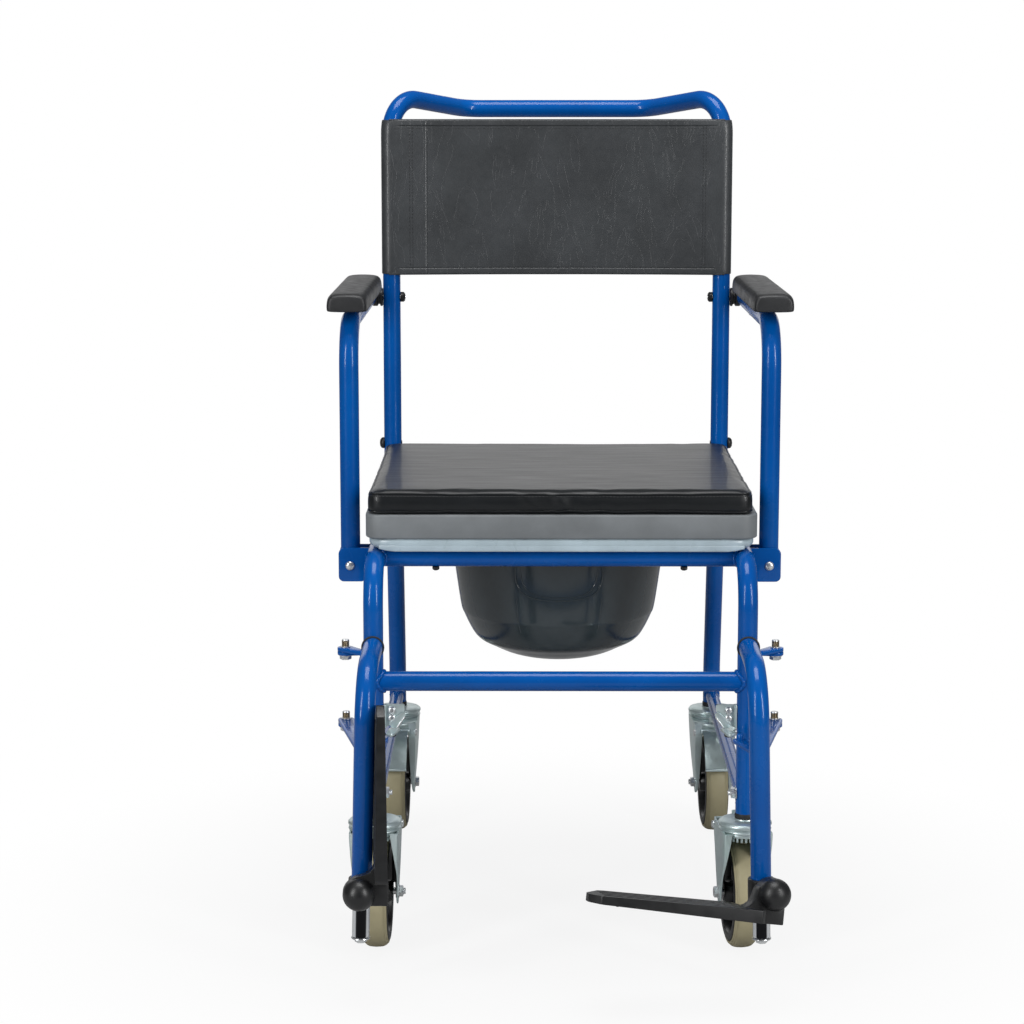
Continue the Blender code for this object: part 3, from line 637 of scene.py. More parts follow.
def cross_tubes():
    for name, y, z, across in (
        ("seat_crossbar_front", CROSS_FRONT_Y, RAIL_Z, (0, 1, 0)),
        ("seat_crossbar_rear", CROSS_REAR_Y, RAIL_Z, (0, 1, 0)),
        ("stretcher_front", FRONT_Y, STRETCHER_Z, (0, 0, 1)),
    ):
        parts = [(sweep([at(-0.203, y, z), at(0.203, y, z)]), BLUE)]
        for side in (-1, 1):
            end = at(side * SIDE_X, y, z)
            parts.append((weld_on_tube(end, (-side, 0, 0), across, TUBE_R, WELD_R), BLUE))
        piece(name + "_tube", "chassis", parts, [name])


def lower_rails():
    for name, side in SIDES:
        front, rear = (at(side * SIDE_X, y, LOWER_RAIL_Z) for y in (FRONT_Y, REAR_Y))
        inset = Vector((0, 0.006, 0))
        parts = [(sweep([front + inset, rear - inset], LOWER_RAIL_R), BLUE)]
        for end, way in ((front, 1), (rear, -1)):
            parts.append((weld_on_tube(end, (0, way, 0), (0, 0, 1), LOWER_RAIL_R, WELD_R), BLUE))
        piece("lower_rail_tube_" + name, "chassis", parts, ["lower_rail_" + name])


def back_frame():
    half = ((SIDE_X, BACK_Y, BACK_FOOT_Z), (SIDE_X, BACK_Y, BACK_TOP_Z), (0.118, 0.310, 0.9465))
    points = [at(*point) for point in half] + [at(-x, y, z) for x, y, z in reversed(half)]
    line = bent(points, [BACK_BEND_R, 0.045, 0.045, BACK_BEND_R], 16)
    piece("back_tube", "chassis", [(sweep(line), BLUE)], ["back_frame"])


def back_bolts():
    dome = [(0, 0.0100), (0.0070, 0.0108), (0.0072, 0.0126), (0.0064, 0.0146), (0.0042, 0.0162), (0, 0.0168)]
    nut = [(0, 0.0100), (0.0030, 0.0106), (0.0030, 0.0118), (0, 0.0120)]
    for name, side in SIDES:
        parts = [
            (turned(profile, aimed(side * SIDE_X, BACK_Y, BACK_BOLT_Z, (way, 0, 0)), 32), PLASTIC)
            for profile, way in ((dome, side), (nut, -side))
        ]
        piece("back_dome_" + name, "chassis", parts, ["back_bolt_" + name])


# ---------------------------------------------------------------- seat
def oblong(half, front, rear, radii, steps, shift=0.0):
    left = shift - half
    right = shift + half
    return rounded([(left, front), (right, front), (right, rear), (left, rear)], radii, steps)


def panel(half, inset, low, high, radii, edge, shift=0.0):
    """A block as long as the seat, less an inset at each end, with rounded corners and edges."""
    front = SEAT_FRONT_Y + MIDDLE_Y + inset
    rear = SEAT_REAR_Y + MIDDLE_Y - inset
    return plate(oblong(half, front, rear, radii, 8, shift), high - low, moved(z=low), edge, 3)


def stack(levels):
    """A ring-shaped solid through outlines with equal counts of points, each at its height."""
    shape = bmesh.new()
    rings = [[shape.verts.new((x, y, z)) for x, y in outline] for outline, z in levels]
    join_rings(shape, rings + rings[:1])
    return shape


def commode_seat():
    front = SEAT_FRONT_Y + 0.003 + MIDDLE_Y
    rear = SEAT_REAR_Y + MIDDLE_Y
    middle = BUCKET_Y + MIDDLE_Y
    levels = []
    for draw, inset, z in (
        (0.0060, 0.0045, BACK_FOOT_Z), (0.0015, 0.0012, 0.4620), (0.0, 0.0, 0.4655), (0.0, 0.0, 0.4695),
        (0.0015, 0.0015, SEAT_TOP_Z),
    ):
        outline = oblong(0.2175 - draw, front + inset, rear - inset, [0.022, 0.022, 0.010, 0.010], 8, SEAT_SHIFT)
        levels.append((even_outline(outline, 144), z))
    angles = [math.atan2(y - middle, x) for x, y in levels[-1][0]]
    for grow, z in ((0.006, SEAT_TOP_Z), (0.0, 0.4690), (0.0, 0.4610), (0.003, BACK_FOOT_Z)):
        hole = hull([(0.0, middle + way * 0.025, 0.092 + grow) for way in (-1, 1)], 24)
        levels.append((along_rays(hole, (0.0, middle), angles), z))
    ends = [(0.188, 0.4570), (0.197, 0.4580), (0.206, 0.4602), (0.206, 0.4650)]
    outline = [(SEAT_SHIFT - x, z) for x, z in reversed(ends)] + [(SEAT_SHIFT + x, z) for x, z in ends]
    lip = plate(outline, 0.0112, spot(0, SEAT_FRONT_Y + 0.0145, 0) @ UPRIGHT, 0.0016)
    piece("seat_ring", "chassis", [(stack(levels), PALE), (lip, PALE)], ["commode_seat"], 50)


def seat_board():
    board = panel(0.2212, 0.0, SEAT_TOP_Z + 0.0003, BOARD_TOP_Z, [0.020, 0.020, 0.010, 0.010], 0.0022, SEAT_SHIFT)
    piece("board", "cushion", [(board, BOARD)], ["seat_board"])


def stitches(line, length=0.0034, gap=0.0012, radius=0.0003):
    """A row of short thread stitches along a line of close points."""
    close = 0.0005
    shape = bmesh.new()
    points = evenly(line, close, False)
    per = max(2, round(length / close))
    skip = max(1, round(gap / close))
    for start in range(0, len(points) - per, per + skip):
        run = points[start:start + per + 1:max(1, per // 3)]
        radii = [radius * 0.5] + [radius] * (len(run) - 2) + [radius * 0.5]
        merge(shape, sweep(run, radii, 6))
    return shape


def on_skin(skin, outline, z, lift=0.0):
    """The outline at one height, laid on the surface it runs round."""
    line = []
    for point in evenly([(x, y, z) for x, y in outline], 0.004):
        touch, normal, _, _ = skin.find_nearest(point)
        line.append(touch + normal * lift)
    return line


def fit_to(shape, low, high):
    """Stretches a shape to fill a box exactly."""
    for axis in range(3):
        values = [vertex.co[axis] for vertex in shape.verts]
        least = min(values)
        scale = (high[axis] - low[axis]) / (max(values) - least)
        for vertex in shape.verts:
            vertex.co[axis] = low[axis] + (vertex.co[axis] - least) * scale


def apply_modifiers(obj):
    graph = bpy.context.evaluated_depsgraph_get()
    mesh = bpy.data.meshes.new_from_object(obj.evaluated_get(graph))
    obj.modifiers.clear()
    obj.data = mesh


def swollen_cushion():
    """The cushion's blank as an even mesh, swollen a little by pressure."""
    inset = 0.002
    blank = panel(
        0.2180 - inset, inset, CUSHION_LOW, CUSHION_HIGH - inset * 0.6, [0.016, 0.016, 0.012, 0.012], 0.0045,
    )
    mesh = bpy.data.meshes.new("cushion_top")
    blank.to_mesh(mesh)
    blank.free()
    obj = place_object("cushion_top", mesh)
    remesh = obj.modifiers.new("remesh", "REMESH")
    remesh.mode = "VOXEL"
    remesh.voxel_size = 0.0050
    apply_modifiers(obj)
    start = [vertex.co.copy() for vertex in obj.data.vertices]
    settings = obj.modifiers.new("cloth", "CLOTH").settings
    settings.use_pressure = True
    settings.uniform_pressure_force = 4.0
    settings.effector_weights.gravity = 0.0
    settings.quality = 5
    for step in range(1, 21):
        bpy.context.scene.frame_set(step)
    apply_modifiers(obj)
    bpy.context.scene.frame_set(1)
    limit = 0.006
    for vertex, rest in zip(obj.data.vertices, start):
        shift = vertex.co - rest
        if shift.length > limit:
            shift *= limit / shift.length
        point = rest + shift
        point.z = min(max(point.z, CUSHION_LOW), CUSHION_HIGH + 0.0015)
        vertex.co = point
    shape = bmesh.new()
    shape.from_mesh(obj.data)
    bpy.data.objects.remove(obj)
    return shape


def pucker(shape, front):
    """Soft puckers along the front edge, deepest in the middle, and slack along the sides."""
    waist = 0.513
    shoulder = 0.520
    for vertex in shape.verts:
        point = vertex.co
        near = math.exp(-((point.y - front) / 0.035) ** 2)
        bunch = math.exp(-((point.x - 0.035) / 0.055) ** 2)
        ripple = noise.noise(Vector((point.x * 55, point.y * 18, point.z * 22 + 3.0)))
        vertex.co.y += near * ripple * (0.0010 + 0.0024 * bunch)
        for middle in (-0.034, 0.002):
            crease = math.exp(-((point.x - middle + 0.9 * (point.z - waist)) / 0.0045) ** 2)
            vertex.co.y -= near * crease * 0.0016 * (waist - 0.010 < point.z < waist + 0.010)
        vertex.co.z += near * (point.z > shoulder) * ripple * (0.0004 + 0.0012 * bunch)
        broad = noise.noise(Vector((point.x * 11, point.y * 9, 7.7)))
        if point.z > shoulder:
            vertex.co.z += broad * 0.0008
        for side in (-1, 1):
            edge = math.exp(-((point.x - side * CUSHION_HALF) / 0.02) ** 2)
            pinch = noise.noise(Vector((side * 4.0, point.y * 42, point.z * 30)))
            vertex.co.x -= side * edge * abs(pinch) * 0.0022


def seat_cushion():
    """The upholstered cushion: swollen, puckered, then piped and stitched."""
    shape = swollen_cushion()
    front = SEAT_FRONT_Y + MIDDLE_Y
    rear = SEAT_REAR_Y + MIDDLE_Y
    fit_to(shape, (-CUSHION_HALF, front + 0.0006, CUSHION_LOW), (CUSHION_HALF, rear - 0.0006, CUSHION_HIGH))
    pucker(shape, front)
    outline = oblong(CUSHION_HALF, front, rear, [0.016, 0.016, 0.012, 0.012], 10)
    skin = BVHTree.FromBMesh(shape)
    sewn = on_skin(skin, outline, CUSHION_HIGH - 0.0058, 0.0002)
    parts = [
        (shape, VINYL),
        (sweep(on_skin(skin, outline, CUSHION_HIGH - 0.0004), 0.0013, 12, True), VINYL),
        (sweep(on_skin(skin, outline, CUSHION_LOW + 0.0012), 0.0014, 10, True), VINYL),
    ]
    cushion = piece("cushion_cover", "cushion", parts, ["seat_cushion"], 60)
    subdivide(cushion, 1)
    seam = stitches(sewn + sewn[:1], 0.0030, 0.0012, 0.00035)
    piece("cushion_stitching", "cushion", [(seam, THREAD)])


# ---------------------------------------------------------------- backrest
def cover_path():
    """The cut line of the backrest sheet, seen from above: rear hem, round one upright, across and back."""
    middle = BACK_Y + MIDDLE_Y
    front = []
    for step in range(1, 24):
        share = -1 + step / 12
        front.append(Vector((share * COVER_HALF, COVER_FRONT_Y + BACK_SAG * (1 - share * share), 0)))
    left = [Vector((x, middle + y, 0)) for x, y in (
        (-0.163, -0.0085), (-0.175, -0.0030), (-0.188, 0.0060), (-0.199, 0.0112),
    )]
    for step in range(1, 13):
        turn = math.pi * (0.5 + step / 12)
        left.append(Vector((-SIDE_X + COVER_WRAP * math.cos(turn), middle + COVER_WRAP * math.sin(turn), 0)))
    return left + front + [Vector((-p.x, p.y, 0)) for p in reversed(left)]


def gripped(x, z):
    """How far the sheet follows the back tube where that bends inwards and backwards."""
    start = BACK_TOP_Z - BACK_BEND_R * math.tan(math.radians(48.5))
    if z <= start:
        return Vector((0, 0, 0))
    angle = math.asin(min(1.0, (z - start) / BACK_BEND_R))
    shift = Vector((-45.0, 110.0, 0.0)).normalized() * BACK_BEND_R * (1 - math.cos(angle))
    grip = max(0.0, min(1.0, (abs(x) - 0.15) / 0.045))
    return Vector((math.copysign(1, x) * shift.x * grip, shift.y * grip, 0))


def relief(x, z):
    """Slack, a slanting fold and a slight belly, all fading out towards the uprights."""
    middle = max(0.0, 1 - abs(x) / 0.19)
    slack = noise.noise(Vector((x * 7, z * 9, 1.5))) * 0.0016 + noise.noise(Vector((x * 19, z * 23, 4.5))) * 0.0006
    fold = math.sin((x * 0.9 + z * 0.55) * 62) * 0.0007 * math.exp(-((x - 0.13) / 0.06) ** 2)
    belly = 0.0016 * math.sin((z - COVER_LOW_Z) / COVER_HEIGHT * math.pi)
    return ((slack + fold) * 2 + belly) * middle


def front_at(x, z, lift):
    """A point on the front of the sheet, lifted off it."""
    share = x / COVER_HALF
    face = COVER_FRONT_Y + BACK_SAG * (1 - share * share)
    return Vector((x, face + relief(x, z) - lift, z)) + gripped(x, z)


def backrest():
    path = evenly(cover_path(), 0.0042, False)
    rows = [0.0, 0.010, 0.020, 0.030, 0.0355, 0.0385, 0.0415, 0.047]
    rows += [0.047 + (0.953 - 0.047) * step / 40 for step in range(1, 40)]
    rows += [1 - share for share in reversed(rows[:8])]
    shape = bmesh.new()
    grid = []
    for share in rows:
        z = COVER_LOW_Z + COVER_HEIGHT * share
        edge = min(share, 1 - share)
        hem_step = 0.0008 if edge < 0.0365 else (-0.0009 if edge < 0.040 else 0.0)
        grid.append([
            shape.verts.new(Vector((x, y + relief(x, z) - hem_step * (abs(x) < 0.2), z)) + gripped(x, z))
            for x, y, _ in path
        ])
    join_rings(shape, [line[::-1] for line in grid], False)
    mesh = bpy.data.meshes.new("back_sheet")
    bmesh.ops.recalc_face_normals(shape, faces=shape.faces)
    shape.to_mesh(mesh)
    shape.free()
    obj = place_object("back_sheet", mesh)
    thick = obj.modifiers.new("thickness", "SOLIDIFY")
    thick.thickness = 0.0011
    thick.offset = 0.0
    subdivide(obj, 1)
    mesh.materials.append(BACK_VINYL)
    mesh.shade_smooth()
    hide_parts("backrest_cover")
    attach(obj, "chassis")
    trims = []
    for z in (COVER_HIGH_Z - 0.0105, COVER_LOW_Z + 0.0075):
        trims.append((stitches([front_at(-0.205 + 0.41 * s / 120, z, 0.0007) for s in range(121)]), THREAD))
    for x in (-0.1815, -0.1850, 0.1838, 0.1873):
        seam = [front_at(x, COVER_LOW_Z + 0.002 + (COVER_HEIGHT - 0.004) * s / 60, 0.0009) for s in range(61)]
        trims.append((stitches(seam), THREAD))
    for z in (COVER_HIGH_Z, COVER_LOW_Z):
        edge = [front_at(-0.212 + 0.424 * s / 90, z, 0.0) for s in range(91)]
        trims.append((sweep(edge, 0.0010, 8), BACK_VINYL))
    stitching = piece("back_stitching", "chassis", trims)


# ---------------------------------------------------------------- bucket
BUCKET_WALL = (            # radius and height, down to the middle of the bottom
    (0.1250, 0.414), (0.1172, 0.361), (0.1131, 0.348), (0.1035, 0.3285), (0.0952, 0.3185),
    (0.0822, 0.3116), (0.0624, 0.3025), (0.0385, 0.2965), (0.0, 0.2900),
)


def on_pan(turn, z):
    """A point on the pan's wall, turn degrees round from the front."""
    radius = BUCKET_WALL[0][0]
    for (wide, high), (narrow, low) in zip(BUCKET_WALL, BUCKET_WALL[1:]):
        if low <= z <= high:
            radius = narrow + (wide - narrow) * (z - low) / (high - low)
    angle = math.radians(turn)
    return at(radius * math.sin(angle), BUCKET_Y - radius * math.cos(angle), z)


def bucket():
    """The turned pan with its square flange, and the raised panel on its front."""
    place = spot(0, BUCKET_Y, 0)
    wall = smooth_line([Vector((radius, height, 0)) for radius, height in BUCKET_WALL], 40)
    outer = [(0.1264, 0.4280)] + [(p.x, p.y) for p in wall]
    inner = [(max(radius - 0.0028, 0.0), height + 0.0022) for radius, height in outer]
    half = 0.135
    middle = BUCKET_Y + MIDDLE_Y
    square = even_outline(oblong(half, middle - half, middle + half, [0.040] * 4, 10), 120)
    ring = [(x, middle + y) for x, y in circle(0.1205, 120)]
    flange = stack([(square, 0.4280), (square, 0.4310), (ring, 0.4310), (ring, 0.4280)])
    parts = [(turned(outer, place, 96), PAN), (turned(inner, place, 96), PAN), (flange, PAN)]
    line = [(-24, 0.4290), (-24, 0.4120), (-23, 0.4000), (-19, 0.3900), (-11, 0.3850), (0, 0.3840)]
    line += [(-turn, z) for turn, z in reversed(line[:-1])]
    for grow in (0.0, 3.2):
        ridge = [on_pan(turn * (1 - grow / 24), z + grow * 0.0011 * (z < 0.428)) for turn, z in line]
        parts.append((sweep(smooth_line(ridge, 60), 0.0011 - grow * 0.0001, 12), PAN))
    for turn in (-24, 24):
        parts.append((sweep([on_pan(turn, 0.384 - 0.042 * step / 12) for step in range(13)], 0.0008, 10), PAN))
    piece("pan", "bucket", parts, ["bucket"], 50)


def bucket_rails():
    """The slotted rails, tapered to a tab under the front cross tube, where a domed bolt holds them."""
    top = RAIL_Z - TUBE_R - 0.0003
    dome = [(0, -0.002), (0.0040, -0.002), (0.0040, 0.0004), (0.0034, 0.0014), (0.0018, 0.0022), (0, 0.0024)]
    for name, side in SIDES:
        parts = []
        for near, far, low, high, front, rear in (
            (0.1280, 0.1430, 0.4315, top, -0.171, 0.177),
            (0.1356, 0.1430, 0.4230, 0.4325, -0.125, 0.177),
            (0.1280, 0.1370, 0.4230, 0.4276, -0.125, 0.177),
            (0.1385, 0.1430, 0.4340, top, -0.205, -0.165),
        ):
            parts.append((block(at(side * near, front, low), at(side * far, rear, high), 0.0007), PLASTIC))
        for y in (CROSS_FRONT_Y - 0.0025, CROSS_REAR_Y):
            parts.append((turned(dome, aimed(side * 0.1408, y, 0.4345, (0, 0, -1)), 28), PLASTIC))
        piece("bucket_track_" + name, "chassis", parts, ["bucket_rail_" + name])


# ---------------------------------------------------------------- arms
def arm_tube(name, side):
    x = side * ARM_X
    line = bent([at(x, ARM_Y, ARM_FOOT_Z), at(x, ARM_Y, ARM_TOP_Z), at(x, ARM_END_Y, ARM_TOP_Z)], [0.050], 18)
    plug = [(0, -0.003), (0.0096, -0.003), (0.0096, 0.0008), (0.0085, 0.0020), (0, 0.0022)]
    end = [(0, -0.003), (0.0100, -0.003), (0.0100, 0.0012), (0.0085, 0.0024), (0, 0.0028)]
    parts = [
        (sweep(line), BLUE),
        (turned(plug, aimed(x, ARM_Y, ARM_FOOT_Z, (0, 0, -1)), 32), RUBBER),
        (turned(end, aimed(x, ARM_END_Y, ARM_TOP_Z, (0, 1, 0)), 32), RUBBER),
    ]
    piece("arm_rod_" + name, "arm_" + name, parts, ["arm_tube_" + name])


def arm_pin(name, side):
    x = side * ARM_X
    dome = [(0, 0), (0.0052, 0), (0.0052, 0.0008), (0.0042, 0.0022), (0.0022, 0.0030), (0, 0.0031)]
    parts = [
        (turned(dome, aimed(x, ARM_Y - 0.0147, ARM_PIN_Z, (0, -1, 0)), 32), STEEL),
        (rod(at(x, ARM_Y - 0.016, ARM_PIN_Z), at(x, ARM_Y + 0.016, ARM_PIN_Z), 0.0029), STEEL),
        (hexagon(aimed(x, ARM_Y + 0.0147, ARM_PIN_Z, (0, 1, 0)), 0.0055, 0.0040), STEEL),
    ]
    piece("arm_bolt_" + name, "chassis", parts, ["arm_pin_" + name])


PAD_LOW = 0.7218
PAD_HIGH = 0.7440
PAD_SECTION = (
    (-0.0215, 0.7218), (-0.0232, 0.7235), (-0.0235, 0.7275), (-0.0232, 0.7330), (-0.0222, 0.7378),
    (-0.0198, 0.7412), (-0.0160, 0.7430), (-0.0080, 0.7438), (0.0, 0.7440), (0.0080, 0.7438), (0.0160, 0.7430),
    (0.0198, 0.7412), (0.0222, 0.7378), (0.0232, 0.7330), (0.0235, 0.7275), (0.0232, 0.7235), (0.0215, 0.7218),
)
PAD_ROWS = (               # Y, and the share of the full width and height
    (-0.1730, 0.80, 0.55), (-0.1722, 0.88, 0.72), (-0.1700, 0.94, 0.86), (-0.1660, 0.975, 0.94),
    (-0.1600, 1.0, 1.0), (-0.12, 1.0, 1.0), (-0.06, 1.0, 1.0), (0.0, 1.0, 1.0), (0.06, 1.0, 1.0), (0.11, 1.0, 1.0),
    (0.1380, 1.0, 1.0), (0.1440, 0.975, 0.95), (0.1475, 0.94, 0.86), (0.1494, 0.88, 0.74), (0.1500, 0.82, 0.6),
)


def arm_pad(name, side):
    """A moulded pad: full section, rounded off at both ends."""
    shape = bmesh.new()
    rings = []
    centre = PAD_LOW + (PAD_HIGH - PAD_LOW) * 0.45
    for y, wide, tall in PAD_ROWS:
        rings.append([
            shape.verts.new(at(
                side * 0.2415 + x * wide, y, centre + (z - centre) * (tall if z > centre else 0.5 + 0.5 * tall),
            ))
            for x, z in PAD_SECTION
        ])
    join_rings(shape, rings)
    shape.faces.new(rings[0][::-1])
    shape.faces.new(rings[-1])
    pad = piece("pad_" + name, "arm_" + name, [(shape, FOAM_SKIN)], ["arm_pad_" + name], 80)
    subdivide(pad, 2)
    head = [(0, 0), (0.0050, 0), (0.0048, 0.0012), (0.0030, 0.0024), (0, 0.0026)]
    screws = [
        (turned(head, aimed(side * ARM_X, y, ARM_TOP_Z - TUBE_R + 0.0006, (0, 0, -1)), 28), STEEL)
        for y in (-0.095, 0.085)
    ]
    piece("pad_screws_" + name, "arm_" + name, screws)


def arm_hold(name, side):
    """The stud on the upright and the snap ring on the armrest."""
    place = aimed(side * SIDE_X, BACK_Y, STUD_Z, (side, 0, 0))
    stud = [(0, -0.0125), (0.0035, -0.0125), (0.0035, 0.0165), (0.0028, 0.0178), (0, 0.0180)]
    cap = [(0, -0.0172), (0.0026, -0.0172), (0.0048, -0.0166), (0.0063, -0.0150), (0.0063, -0.0112), (0, -0.0112)]
    tip = [(0, -0.0176), (0.0018, -0.0175), (0.0021, -0.0168), (0, -0.0168)]
    parts = [(turned(stud, place, 28), STEEL), (turned(cap, place, 32), PLASTIC), (turned(tip, place, 20), STEEL)]
    piece("stud_" + name, "chassis", parts, ["arm_stud_" + name])
    ring = [
        (0.0039, 0.0114), (0.0105, 0.0114), (0.0117, 0.0121), (0.0117, 0.0140), (0.0107, 0.0148), (0.0092, 0.0152),
        (0.0090, 0.0168), (0.0107, 0.0176), (0.0117, 0.0184), (0.0117, 0.0236), (0.0108, 0.0240), (0.0039, 0.0240),
    ]
    snap = [(turned(ring, place, 40), PLASTIC)]
    piece("snap_ring_" + name, "arm_" + name, snap, ["arm_clip_" + name])


# ---------------------------------------------------------------- footrests
def hinge_bolts(name, side):
    for level, low in HINGE_LEVELS:
        place = spot(side * HINGE_X, HINGE_Y, low)
        under = place @ OVER
        parts = [
            (disc(under, 0.0075, 0.0003, 0.0011), STEEL),
            (hexagon(under @ moved(z=0.0011), 0.0066, 0.0042), STEEL),
            (rod(place @ Vector((0, 0, -0.002)), place @ Vector((0, 0, 0.010)), 0.0040), STEEL),
            (disc(place, 0.0058, 0.0086, 0.0094), STEEL),
            (thread(place, 0.0043, 0.0094, 0.0160), BRASS),
            (turned([(0, 0.0160), (0.0043, 0.0160), (0.0036, 0.0172), (0, 0.0172)], place, 24), STEEL),
        ]
        piece("hinge_pin_" + level + "_" + name, "chassis", parts, ["hinge_bolt_" + level + "_" + name])


def hanger_at(side, z):
    """The middle of the leaning footrest tube at this height."""
    return at(side * (HANGER_X + LEAN * (HANGER_BEND_Z - z)), HANGER_Y, z)


def hanger(name, side):
    """The footrest tube with its hinge plates, catch plate, welds, saddle and mouth."""
    line = bent(
        [at(side * SIDE_X, -0.2725, 0.358), hanger_at(side, HANGER_BEND_Z), hanger_at(side, HANGER_END_Z)], [0.060], 20,
    )
    parts = [(sweep(line), BLUE)]
    spots = [(0.219, -0.284, 0.006), (0.2132, -0.379, 0.0055), (0.2125, -0.345, 0.006), (0.199, -0.297, 0.008)]
    upper, near, middle, far = ((side * x, y + MIDDLE_Y, radius) for x, y, radius in spots)
    pin = (side * HINGE_X, HINGE_Y + MIDDLE_Y, 0.009)
    tube = hanger_at(side, 0.2703)
    lower = (tube.x + side * 0.002, tube.y, 0.008)
    for circles, low in (
        ((pin, upper), 0.3523), ((pin, lower), 0.2703), ((near, middle), 0.2555), ((middle, far), 0.2555),
    ):
        parts.append((plate(hull(circles), 0.004, moved(z=low), 0.0006), BLUE))
    for z in (0.2723, 0.2575):
        turns = [0.56 + 2.02 * step / 20 for step in range(21)]
        bead = [hanger_at(side, z) + Vector((0.0116 * math.cos(a), 0.0116 * math.sin(a), 0)) for a in turns]
        parts.append((sweep(bead, 0.0016, 10), BLUE))
    bolt = [(0, 0), (0.0040, 0), (0.0040, 0.0050), (0.0030, 0.0064), (0, 0.0066)]
    parts.append((turned(bolt, spot(side * 0.199, -0.297, 0.2595), 24), BLUE))
    saddle = [at(side * SIDE_X, -0.2722, 0.358) + Vector((x, 0.0, z)) for x, z in circle(0.0117, 40)]
    parts.append((sweep(saddle, 0.0013, 10, True), RUBBER))
    mouth = [(0.0097, 0.0), (0.0112, 0.0), (0.0114, 0.0012), (0.0111, 0.0024), (0.0097, 0.0024)]
    parts.append((turned(mouth, foot_place(side, 0) @ moved(z=HANGER_END_Z - 0.0006), 36), BLUE))
    piece("hanger_tube_" + name, "hanger_" + name, parts, ["hanger_" + name])


def latch(name, side):
    """The folded plate on the front leg, with its bolts, pointed channel and turning lever."""
    face = spot(0, -0.2590, 0) @ UPRIGHT
    outline = rounded(
        [(0.1975, 0.2640), (0.1975, 0.2910), (0.1745, 0.2910), (0.1745, 0.2830), (0.1860, 0.2680)],
        [0.002, 0.002, 0.002, 0.002, 0.003], 3,
    )
    channel = hull([(side * 0.1765, 0.2790, 0.0030), (side * 0.1860, 0.2690, 0.0052)])
    edge_place = moved(side * 0.1967)
    parts = [
        (plate([(side * x, z) for x, z in outline], 0.0022, face, 0.0006), ZINC),
        (block(at(-0.0013, -0.2650, 0.2640), at(0.0013, -0.2570, 0.2910), place=edge_place), ZINC),
        (plate(channel, 0.0020, face @ moved(z=0.0030), 0.0005), ZINC),
        (sweep([at(side * 0.1742, -0.2630, 0.2768), at(side * 0.1828, -0.2640, 0.2650)], 0.0010, 10), STEEL),
    ]
    dome = [
        (0, 0), (0.0046, 0), (0.0046, 0.0012), (0.0042, 0.0026), (0.0030, 0.0036), (0.0019, 0.0038),
        (0.0018, 0.0020), (0, 0.0018),
    ]
    for z in (0.2748, 0.2838):
        parts.append((turned(dome, aimed(side * 0.1888, -0.2605, z, (0, -1, 0)), 28), STEEL))
    piece("latch_plate_" + name, "chassis", parts, ["latch_bracket_" + name])
    outline = hull([(side * 0.1860, -0.2600 + MIDDLE_Y, 0.006), (side * 0.1900, -0.2840 + MIDDLE_Y, 0.005)])
    grip = spot(side * 0.1886, -0.2660, 0.2550)
    parts = [
        (plate(outline, 0.0030, moved(z=0.2600), 0.0008), ZINC),
        (turned([(0, 0), (0.0040, 0), (0.0048, 0.0010), (0.0048, 0.0042), (0, 0.0042)], grip, 28), PLASTIC),
        (disc(grip, 0.0045, 0.0042, 0.0072), CHROME),
    ]
    piece("latch_arm_" + name, "latch_" + name, parts, ["latch_lever_" + name])


def foot_place(side, turn):
    lean = Matrix.Rotation(-side * math.atan(LEAN), 4, "Y")
    return Matrix.Translation(hanger_at(side, 0)) @ lean @ Matrix.Rotation(math.radians(turn), 4, "Z")


def foot(name, side, turn, flip):
    """The bright inner tube with its end bolt, the clamped hub and the plate that turns on it."""
    place = foot_place(side, turn)
    low = 0.0610
    high = 0.2300
    stem = [
        (0, low), (0.0080, low), (0.0094, 0.0623), (0.0095, 0.0635), (0.0095, 0.2290), (0.0085, high), (0, high),
    ]
    under = place @ moved(z=low) @ OVER
    parts = [
        (turned(stem, place), CHROME),
        (turned([(0, 0), (0.0100, 0), (0.0104, 0.0008), (0.0100, 0.0016), (0, 0.0016)], under, 32), STEEL),
        (hexagon(under @ moved(z=0.0016), 0.0066, 0.0042), STEEL),
    ]
    piece("stem_" + name, "foot_" + name, parts, ["foot_stem_" + name])
    collar = [
        (0.0098, 0.1020), (0.0133, 0.1020), (0.0143, 0.1026), (0.0145, 0.1038), (0.0145, 0.1262),
        (0.0143, 0.1274), (0.0133, 0.1280), (0.0098, 0.1280),
    ]
    pivot = place @ moved(side * FLIP_X, 0, FLIP_Z) @ Matrix.Rotation(math.radians(-PITCH), 4, "X")
    pin = rod(pivot @ Vector((0, -0.0118, 0)), pivot @ Vector((0, -0.0560, 0)), 0.0040)
    parts = [(turned(collar, place, 40), PLASTIC), (pin, STEEL)]
    piece("collar_" + name, "foot_" + name, parts, ["foot_hub_" + name])
    footplate(name, side, pivot @ Matrix.Rotation(math.radians(side * flip), 4, "Y"))


